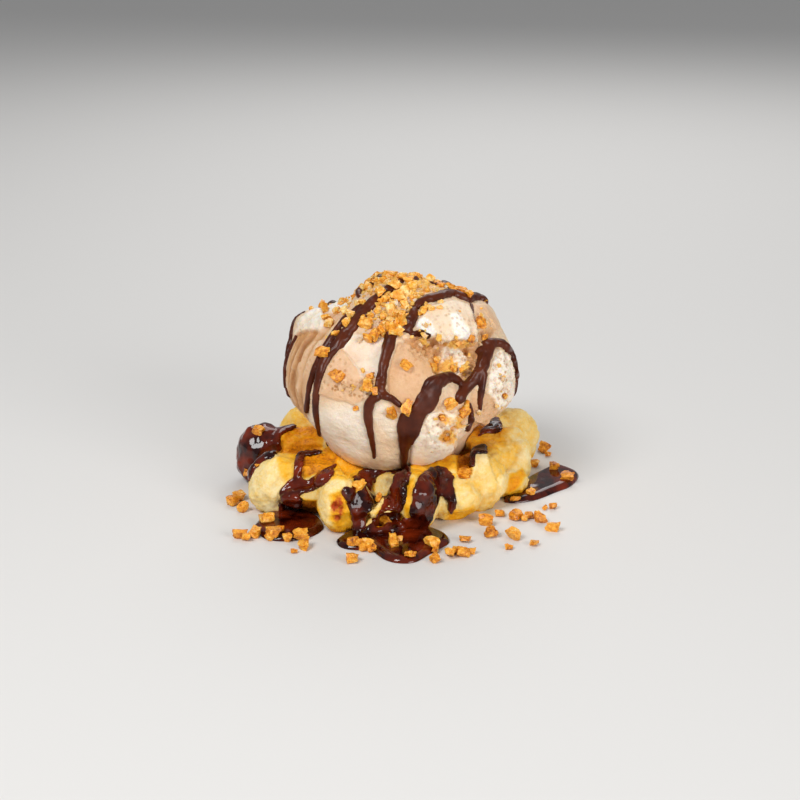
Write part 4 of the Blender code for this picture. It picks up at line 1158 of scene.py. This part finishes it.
def firstSeen(surfaces, across, down, behind=False):  # the nearest of several surfaces on a sight line
    eye, line = sightLine(across, down, behind)
    hits = [surface.ray_cast(eye, line)[0] for surface in surfaces]
    hits = [hit for hit in hits if hit is not None]
    if hits:
        return min(hits, key=lambda hit: (hit - eye).length)
    return pointSeen(surfaces[0], across, down, behind)[0]


def heapPlace():  # a random place on the heap
    middle, level, spread, drop = chipPlan["heap"]
    across = random.gauss(middle, spread)
    return across, random.gauss(level, drop) + abs(across - middle) * 0.12


def makeIceCrumbs(shapes, guide, scoopSurface):  # loose crumbs of the ice cream on its broken places
    places = [(*heapPlace(), random.random() < 0.3) for _ in range(chipPlan["iceCrumbs"])]
    for behind, name in ((False, "rough"), (True, "roughBehind")):
        for across, down, halfWidth, halfHeight, *_ in scoopPlan[name][1:]:
            for _ in range(chipPlan["strayCrumbs"]):
                places.append((random.gauss(across, halfWidth * 0.5), random.gauss(down, halfHeight * 0.5),
                               behind))
    crumbs = []
    for across, down, behind in places:
        onKnob, onDome = across < 322, across > 428 and down < 334
        if not behind and (onKnob or onDome):  # these stay clear
            continue
        place, _ = pointSeen(scoopSurface, across, down, behind)
        normal = guide.find_nearest(place)[1]
        crumb = placeChip(shapes, place, normal, random.uniform(0.5, 1.5) ** 1.3 * mm, sink=0.3)
        values = {"tone": random.uniform(0.42, 0.72), "gold": random.choice((0.4, 0.7, 0.9, 1.2)),
                  "crack": 0.0, "crumbs": 1.0, "pores": 0.0}
        for name, value in values.items():
            setValue(crumb, name, np.full(len(crumb.data.vertices), value))
        crumbs.append(crumb)
    return joinAll(crumbs, "iceCreamCrumbs")


def makeChips(shapes, guide, scoopSurface, strandSurface, waffleSurface, poolSurfaces):
    sizes = chipPlan["sizes"]
    groups = {}
    chips = []
    for behind, rows in ((False, chipPlan["scoop"]), (True, chipPlan["scoopBehind"])):
        for across, down, size in rows:
            place = firstSeen((scoopSurface, strandSurface), across, down, behind)
            normal = guide.find_nearest(place)[1]
            onHeap = not behind and down < 334 and across < 432
            chips.append(placeChip(shapes, place, normal, size * unit * sizes["heap" if onHeap else "scoop"],
                                   pale=0.11 if onHeap else 0.0))
    for run, thickness in chipPlan["shards"]:
        for across, down in run:
            place = firstSeen((scoopSurface, strandSurface), across, down)
            normal = guide.find_nearest(place)[1]
            chips.append(placeChip(shapes, place, normal, thickness, squash=(0.9, 0.5, 1.3), pale=0.08))
    for _ in range(chipPlan["crestCrumbs"]):
        across, down = heapPlace()
        place, _ = pointSeen(scoopSurface, across, down, random.random() < 0.3)
        normal = guide.find_nearest(place)[1]
        chips.append(placeChip(shapes, place, normal, (0.6 + 2.0 * random.random() ** 2) * mm, sink=0.3,
                               pale=0.13))
    groups["toffeeOnIceCream"] = (chips, "ice_cream")

    chips = []
    for across, down, size in chipPlan["waffle"]:
        place, normal = pointSeen(waffleSurface, across, down)
        chips.append(placeChip(shapes, place, normal, size * unit * sizes["waffle"], sink=0.05))
    groups["toffeeOnWaffle"] = (chips, "waffle")

    for pool, rows in chipPlan["pools"].items():
        chips = []
        for across, down, size in rows:
            eye, line = sightLine(across, down)
            hit = poolSurfaces[pool].ray_cast(eye, line)[0] or groundSeen(across, down)
            chips.append(placeChip(shapes, hit, Vector((0, 0, 1)), size * unit * sizes["pools"]))
        name = "toffeeOnPool" + pool.split("_")[-1].title()
        groups[name] = (chips, pool)

    made = []
    for name, (chips, node) in groups.items():
        obj = joinAll(chips, name)
        keepAbove(obj, 0.05 * mm)
        made.append((obj, node))
    chips = []
    for across, down, size in chipPlan["fallen"]:
        place = groundSeen(across, down, size * unit * 0.3)
        place.z = 0.0
        chips.append(placeChip(shapes, place, Vector((0, 0, 1)), size * unit * sizes["fallen"], sink=0.02))
    fallen = joinAll(chips, "toffeeFallen")
    keepAbove(fallen)
    return made, fallen


# Materials

def newMaterial(name):
    made = bpy.data.materials.new(name)
    made.use_nodes = True
    tree = made.node_tree
    return made, tree, tree.nodes["Principled BSDF"]


def rippleIceCream():
    # churned and frozen ripple ice cream: soft satin, beige caramel and cream layers, fine pores and crumbs
    made, tree, shader = newMaterial("frozenRippleIceCream")
    coords = addNode(tree, "ShaderNodeTexCoord").outputs["Object"]
    tone, gold, crack, crumbs, pores = (
        addNode(tree, "ShaderNodeAttribute", {"attribute_name": name}).outputs["Fac"]
        for name in ("tone", "gold", "crack", "crumbs", "pores"))
    swirl = addNode(tree, "ShaderNodeTexNoise", {"Scale": 1 / (7 * mm), "Detail": 4.0, "Roughness": 0.6,
                                                 "Distortion": 0.6}, {"Vector": coords})
    speck = addNode(tree, "ShaderNodeTexNoise", {"Scale": 1 / (0.9 * mm), "Detail": 3.0, "Roughness": 0.7},
                    {"Vector": coords})
    shifted = addNode(tree, "ShaderNodeMath", {"operation": "MULTIPLY_ADD", 1: 0.26},
                      {0: swirl.outputs["Fac"], 2: tone})
    grainy = addNode(tree, "ShaderNodeMath", {"operation": "MULTIPLY_ADD", 1: 0.14},
                     {0: speck.outputs["Fac"], 2: shifted.outputs[0]})
    level = addNode(tree, "ShaderNodeMath", {"operation": "SUBTRACT", 1: 0.20}, {0: grainy.outputs[0]})
    ramp = addNode(tree, "ShaderNodeValToRGB",
                   {"stops": ((0.04, "#A66C38"), (0.26, "#CD9A66"), (0.46, "#E0B78F"), (0.62, "#E9CBA8"),
                              (0.80, "#F1E0C9"), (0.97, "#F9F1E6"))}, {"Fac": level.outputs[0]})
    crumbNoise = addNode(tree, "ShaderNodeTexNoise",
                         {"Scale": 1 / (1.5 * mm), "Detail": 2.0, "Roughness": 0.6}, {"Vector": coords})
    crumbMask = addNode(tree, "ShaderNodeMath", {"operation": "MULTIPLY"},
                        {0: crumbNoise.outputs["Fac"], 1: gold})
    crumbEdge = addNode(tree, "ShaderNodeMapRange", {"From Min": 0.24, "From Max": 0.42},
                        {"Value": crumbMask.outputs[0]})
    golden = addNode(tree, "ShaderNodeMix", {"data_type": "RGBA", 7: toLinear("#F0B450")},
                     {0: crumbEdge.outputs[0], 6: ramp.outputs["Color"]})
    # painted shade in the cracks: the colour goes toward brown by the crack shade value
    crackShadeAmount = addNode(tree, "ShaderNodeMath", {"operation": "MULTIPLY", 1: 0.7}, {0: crack})
    shaded = addNode(tree, "ShaderNodeMix", {"data_type": "RGBA", 7: toLinear("#C8843C")},
                     {0: crackShadeAmount.outputs[0], 6: golden.outputs[2]})
    # pores: small holes pressed into the bump, painted tan-brown as painted shade inside them
    cells = addNode(tree, "ShaderNodeTexVoronoi", {"Scale": 1 / (1.5 * mm)}, {"Vector": coords})
    hole = addNode(tree, "ShaderNodeMapRange", {"From Min": 0.40, "From Max": 0.18},
                   {"Value": cells.outputs["Distance"]})
    holes = addNode(tree, "ShaderNodeMath", {"operation": "MULTIPLY"}, {0: hole.outputs[0], 1: pores})
    poreShade = addNode(tree, "ShaderNodeMix", {"data_type": "RGBA", 7: toLinear("#B87C40")},
                    {0: holes.outputs[0], 6: shaded.outputs[2]})
    tree.links.new(poreShade.outputs[2], shader.inputs["Base Color"])
    grain = addNode(tree, "ShaderNodeTexNoise", {"Scale": 1 / (0.6 * mm), "Detail": 3.0, "Roughness": 0.6},
                    {"Vector": coords})
    icy = addNode(tree, "ShaderNodeMath", {"operation": "MULTIPLY_ADD", 1: 0.6, 2: 0.5}, {0: crumbs})
    grainHeight = addNode(tree, "ShaderNodeMath", {"operation": "MULTIPLY"},
                          {0: grain.outputs["Fac"], 1: icy.outputs[0]})
    shallow = addNode(tree, "ShaderNodeMath", {"operation": "MULTIPLY", 1: 0.5}, {0: holes.outputs[0]})
    height = addNode(tree, "ShaderNodeMath", {"operation": "SUBTRACT"},
                     {0: grainHeight.outputs[0], 1: shallow.outputs[0]})
    bump = addNode(tree, "ShaderNodeBump", {"Strength": 0.9, "Distance": 0.45 * mm},
                   {"Height": height.outputs[0]})
    tree.links.new(bump.outputs[0], shader.inputs["Normal"])
    setSockets(shader, {"Roughness": 0.48, "Subsurface Weight": 0.35, "Subsurface Radius": (1.0, 0.6, 0.3),
                        "Subsurface Scale": 1.5 * mm})
    return made


def setChocolate():
    # chocolate sauce that set on the cold scoop: satin, a soft broad highlight
    made, tree, shader = newMaterial("setChocolateSauce")
    coords = addNode(tree, "ShaderNodeTexCoord").outputs["Object"]
    tone = addNode(tree, "ShaderNodeTexNoise", {"Scale": 1 / (5 * mm), "Detail": 3.0, "Roughness": 0.55},
                   {"Vector": coords})
    ramp = addNode(tree, "ShaderNodeValToRGB", {"stops": ((0.3, "#3A1205"), (0.7, "#5C260E"))},
                   {"Fac": tone.outputs["Fac"]})
    tree.links.new(ramp.outputs["Color"], shader.inputs["Base Color"])
    ripples = addNode(tree, "ShaderNodeTexNoise",
                      {"Scale": 1 / (2.4 * mm), "Detail": 2.0, "Roughness": 0.55}, {"Vector": coords})
    bump = addNode(tree, "ShaderNodeBump", {"Strength": 0.25, "Distance": 0.3 * mm},
                   {"Height": ripples.outputs["Fac"]})
    tree.links.new(bump.outputs[0], shader.inputs["Normal"])
    setSockets(shader, {"Roughness": 0.32, "Specular IOR Level": 0.25})
    return made


def wetChocolate():
    # warm chocolate sauce, still wet: nearly black with sharp highlights, reddish in soft random patches
    made, tree, shader = newMaterial("wetChocolateSauce")
    coords = addNode(tree, "ShaderNodeTexCoord").outputs["Object"]
    tone = addNode(tree, "ShaderNodeTexNoise", {"Scale": 1 / (6 * mm), "Detail": 2.0, "Roughness": 0.55},
                   {"Vector": coords})
    ramp = addNode(tree, "ShaderNodeValToRGB", {"stops": ((0.38, "#220301"), (0.74, "#7A260A"))},
                   {"Fac": tone.outputs["Fac"]})
    tree.links.new(ramp.outputs["Color"], shader.inputs["Base Color"])
    ripples = addNode(tree, "ShaderNodeTexNoise",
                      {"Scale": 1 / (4.5 * mm), "Detail": 1.0, "Roughness": 0.55}, {"Vector": coords})
    bump = addNode(tree, "ShaderNodeBump", {"Strength": 0.15, "Distance": 0.4 * mm},
                   {"Height": ripples.outputs["Fac"]})
    tree.links.new(bump.outputs[0], shader.inputs["Normal"])
    setSockets(shader, {"Roughness": 0.08, "IOR": 1.46, "Specular IOR Level": 0.46})
    return made


def brokenToffee():
    # boiled sugar toffee, broken: hard and slightly clear, pale where it is bruised, amber inside
    made, tree, shader = newMaterial("brokenToffee")
    coords = addNode(tree, "ShaderNodeTexCoord").outputs["Object"]
    pale = addNode(tree, "ShaderNodeAttribute", {"attribute_name": "pale"}).outputs["Fac"]
    tone = addNode(tree, "ShaderNodeTexNoise", {"Scale": 1 / (1.5 * mm), "Detail": 4.0, "Roughness": 0.75},
                   {"Vector": coords})
    level = addNode(tree, "ShaderNodeMath", {"operation": "ADD"}, {0: tone.outputs["Fac"], 1: pale})
    ramp = addNode(tree, "ShaderNodeValToRGB",
                   {"stops": ((0.30, "#803C04"), (0.40, "#C4720E"), (0.50, "#E4941E"), (0.62, "#F3B444"),
                              (0.80, "#FBE0A0"))}, {"Fac": level.outputs[0]})
    tree.links.new(ramp.outputs["Color"], shader.inputs["Base Color"])
    grit = addNode(tree, "ShaderNodeTexNoise", {"Scale": 1 / (0.5 * mm), "Detail": 3.0, "Roughness": 0.7},
                   {"Vector": coords})
    bump = addNode(tree, "ShaderNodeBump", {"Strength": 0.5, "Distance": 0.2 * mm},
                   {"Height": grit.outputs["Fac"]})
    tree.links.new(bump.outputs[0], shader.inputs["Normal"])
    setSockets(shader, {"Roughness": 0.38, "Subsurface Weight": 0.2, "Subsurface Radius": (1.0, 0.5, 0.2),
                        "Subsurface Scale": 0.8 * mm})
    return made


def bakedWaffle():
    # yeast waffle from the iron: pale soft crumb at the rounded ends, amber, slightly shiny where pressed
    made, tree, shader = newMaterial("ironBakedWaffle")
    coords = addNode(tree, "ShaderNodeTexCoord").outputs["Object"]
    bake = addNode(tree, "ShaderNodeAttribute", {"attribute_name": "bake"}).outputs["Fac"]
    burn = addNode(tree, "ShaderNodeAttribute", {"attribute_name": "burn"}).outputs["Fac"]
    mottle = addNode(tree, "ShaderNodeTexNoise",
                     {"Scale": 1 / (3.2 * mm), "Detail": 5.0, "Roughness": 0.65}, {"Vector": coords})
    speck = addNode(tree, "ShaderNodeTexNoise", {"Scale": 1 / (0.8 * mm), "Detail": 3.0, "Roughness": 0.7},
                    {"Vector": coords})
    mixed = addNode(tree, "ShaderNodeMath", {"operation": "MULTIPLY_ADD", 1: 0.75},
                    {0: mottle.outputs["Fac"], 2: bake})
    finer = addNode(tree, "ShaderNodeMath", {"operation": "MULTIPLY_ADD", 1: 0.30},
                    {0: speck.outputs["Fac"], 2: mixed.outputs[0]})
    level = addNode(tree, "ShaderNodeMath", {"operation": "SUBTRACT", 1: 0.50}, {0: finer.outputs[0]})
    ramp = addNode(tree, "ShaderNodeValToRGB",
                   {"stops": ((0.0, "#F5E0AA"), (0.18, "#F2D288"), (0.40, "#F2BE48"), (0.64, "#F3AC0E"),
                              (0.84, "#E89208"), (1.0, "#B0640A"))}, {"Fac": level.outputs[0]})
    charNoise = addNode(tree, "ShaderNodeMath", {"operation": "MULTIPLY"},
                        {0: burn, 1: mottle.outputs["Fac"]})
    charEdge = addNode(tree, "ShaderNodeMapRange", {"From Min": 0.14, "From Max": 0.44},
                       {"Value": charNoise.outputs[0]})
    charred = addNode(tree, "ShaderNodeMix", {"data_type": "RGBA", 7: toLinear("#B2440A")},
                      {0: charEdge.outputs[0], 6: ramp.outputs["Color"]})
    tree.links.new(charred.outputs[2], shader.inputs["Base Color"])
    holes = addNode(tree, "ShaderNodeTexVoronoi", {"Scale": 1 / (1.7 * mm)}, {"Vector": coords})
    grain = addNode(tree, "ShaderNodeTexNoise", {"Scale": 1 / (1.1 * mm), "Detail": 5.0, "Roughness": 0.65},
                    {"Vector": coords})
    height = addNode(tree, "ShaderNodeMath", {"operation": "MULTIPLY_ADD", 1: 0.5},
                     {0: holes.outputs["Distance"], 2: grain.outputs["Fac"]})
    bump = addNode(tree, "ShaderNodeBump", {"Strength": 0.7, "Distance": 0.5 * mm},
                   {"Height": height.outputs[0]})
    tree.links.new(bump.outputs[0], shader.inputs["Normal"])
    gloss = addNode(tree, "ShaderNodeMapRange", {"To Min": 0.62, "To Max": 0.42}, {"Value": bake})
    tree.links.new(gloss.outputs[0], shader.inputs["Roughness"])
    setSockets(shader, {"Specular IOR Level": 0.25, "Subsurface Weight": 0.12,
                        "Subsurface Radius": (1.0, 0.6, 0.25), "Subsurface Scale": 1.2 * mm})
    return made


def paleFloor():
    # matte painted board
    made, tree, shader = newMaterial("mattePaleBoard")
    setSockets(shader, {"Base Color": toLinear("#DCDAD7"), "Roughness": 0.7})
    return made


# Making

scoop, guide = makeScoop()
print("ice cream made")
strands = makeStrands(scoop, guide)
print("strands made")
waffle = makeWaffle()
paintWaffle(waffle)
print("waffle made")
coats = makeCoats(waffle)
print("coats made")
pools = {name: makePool(name, outline) for name, outline in poolPlan["pools"].items()}
print("pools made")
shapes = chipShapes()
iceCrumbs = makeIceCrumbs(shapes, guide, surfaceOf(scoop))
toppedChips, fallenChips = makeChips(
    shapes, guide, surfaceOf(scoop), surfaceOf(strands), surfaceOf(waffle),
    {name: surfaceOf(pool) for name, pool in pools.items()})
for shape in shapes:
    bpy.data.objects.remove(shape)
print("chips made")

wet, toffee, iceCream = wetChocolate(), brokenToffee(), rippleIceCream()
finishPiece(scoop, iceCream, "ice_cream", "ice_cream")
finishPiece(iceCrumbs, iceCream, "ice_cream", "ice_cream", broken=True)
finishPiece(strands, setChocolate(), "chocolate_sauce", "ice_cream")
finishPiece(waffle, bakedWaffle(), "waffle", "waffle")
finishPiece(coats, wet, "chocolate_sauce", "waffle")
for name, pool in pools.items():
    finishPiece(pool, wet, "chocolate_sauce", name)
for chips, node in toppedChips:
    finishPiece(chips, toffee, "toffee", node, broken=True)
finishPiece(fallenChips, toffee, "toffee", broken=True)


# Floor, light and camera

studio = {
    "key": ((-0.36, -0.42, 0.62), 0.30, 4.0),  # place, size, watts
    "fill": ((0.52, -0.62, 0.24), 0.42, 3.9),
    "back": ((0.10, 0.60, 0.55), 0.50, 2.2),
    "worldStrength": 0.33,
}

bpy.context.scene.view_settings.view_transform = "Standard"  # as plain as the photograph of a product

bpy.ops.mesh.primitive_plane_add(size=6.0, location=(0, 1.0, 0))
floor = bpy.context.object
floor.name = "floor"
settle(floor)
floor.data.materials.append(paleFloor())

for name in ("key", "fill", "back"):
    place, size, power = studio[name]
    lamp = bpy.data.lights.new(name, "AREA")
    lamp.size = size
    lamp.energy = power
    holder = bpy.data.objects.new(name, lamp)
    holder.location = place
    holder.rotation_euler = (Vector(scoopPlan["middle"]) - Vector(place)).to_track_quat("-Z", "Y").to_euler()
    bpy.context.scene.collection.objects.link(holder)

world = bpy.context.scene.world or bpy.data.worlds.new("studioAir")
bpy.context.scene.world = world
world.use_nodes = True
air = world.node_tree.nodes["Background"]
setSockets(air, {"Color": toLinear("#EDEFF2"), "Strength": studio["worldStrength"]})

lens = bpy.data.cameras.new("camera")
lens.sensor_width = 36.0
lens.lens = look["sight"] * lens.sensor_width / (2 * look["middle"])
lens.clip_start = 0.01
camera = bpy.data.objects.new("camera", lens)
camera.location = Vector(look["eye"]) * mm
camera.rotation_euler = (math.radians(90 - look["down"]), 0.0, 0.0)
bpy.context.scene.collection.objects.link(camera)
bpy.context.scene.camera = camera
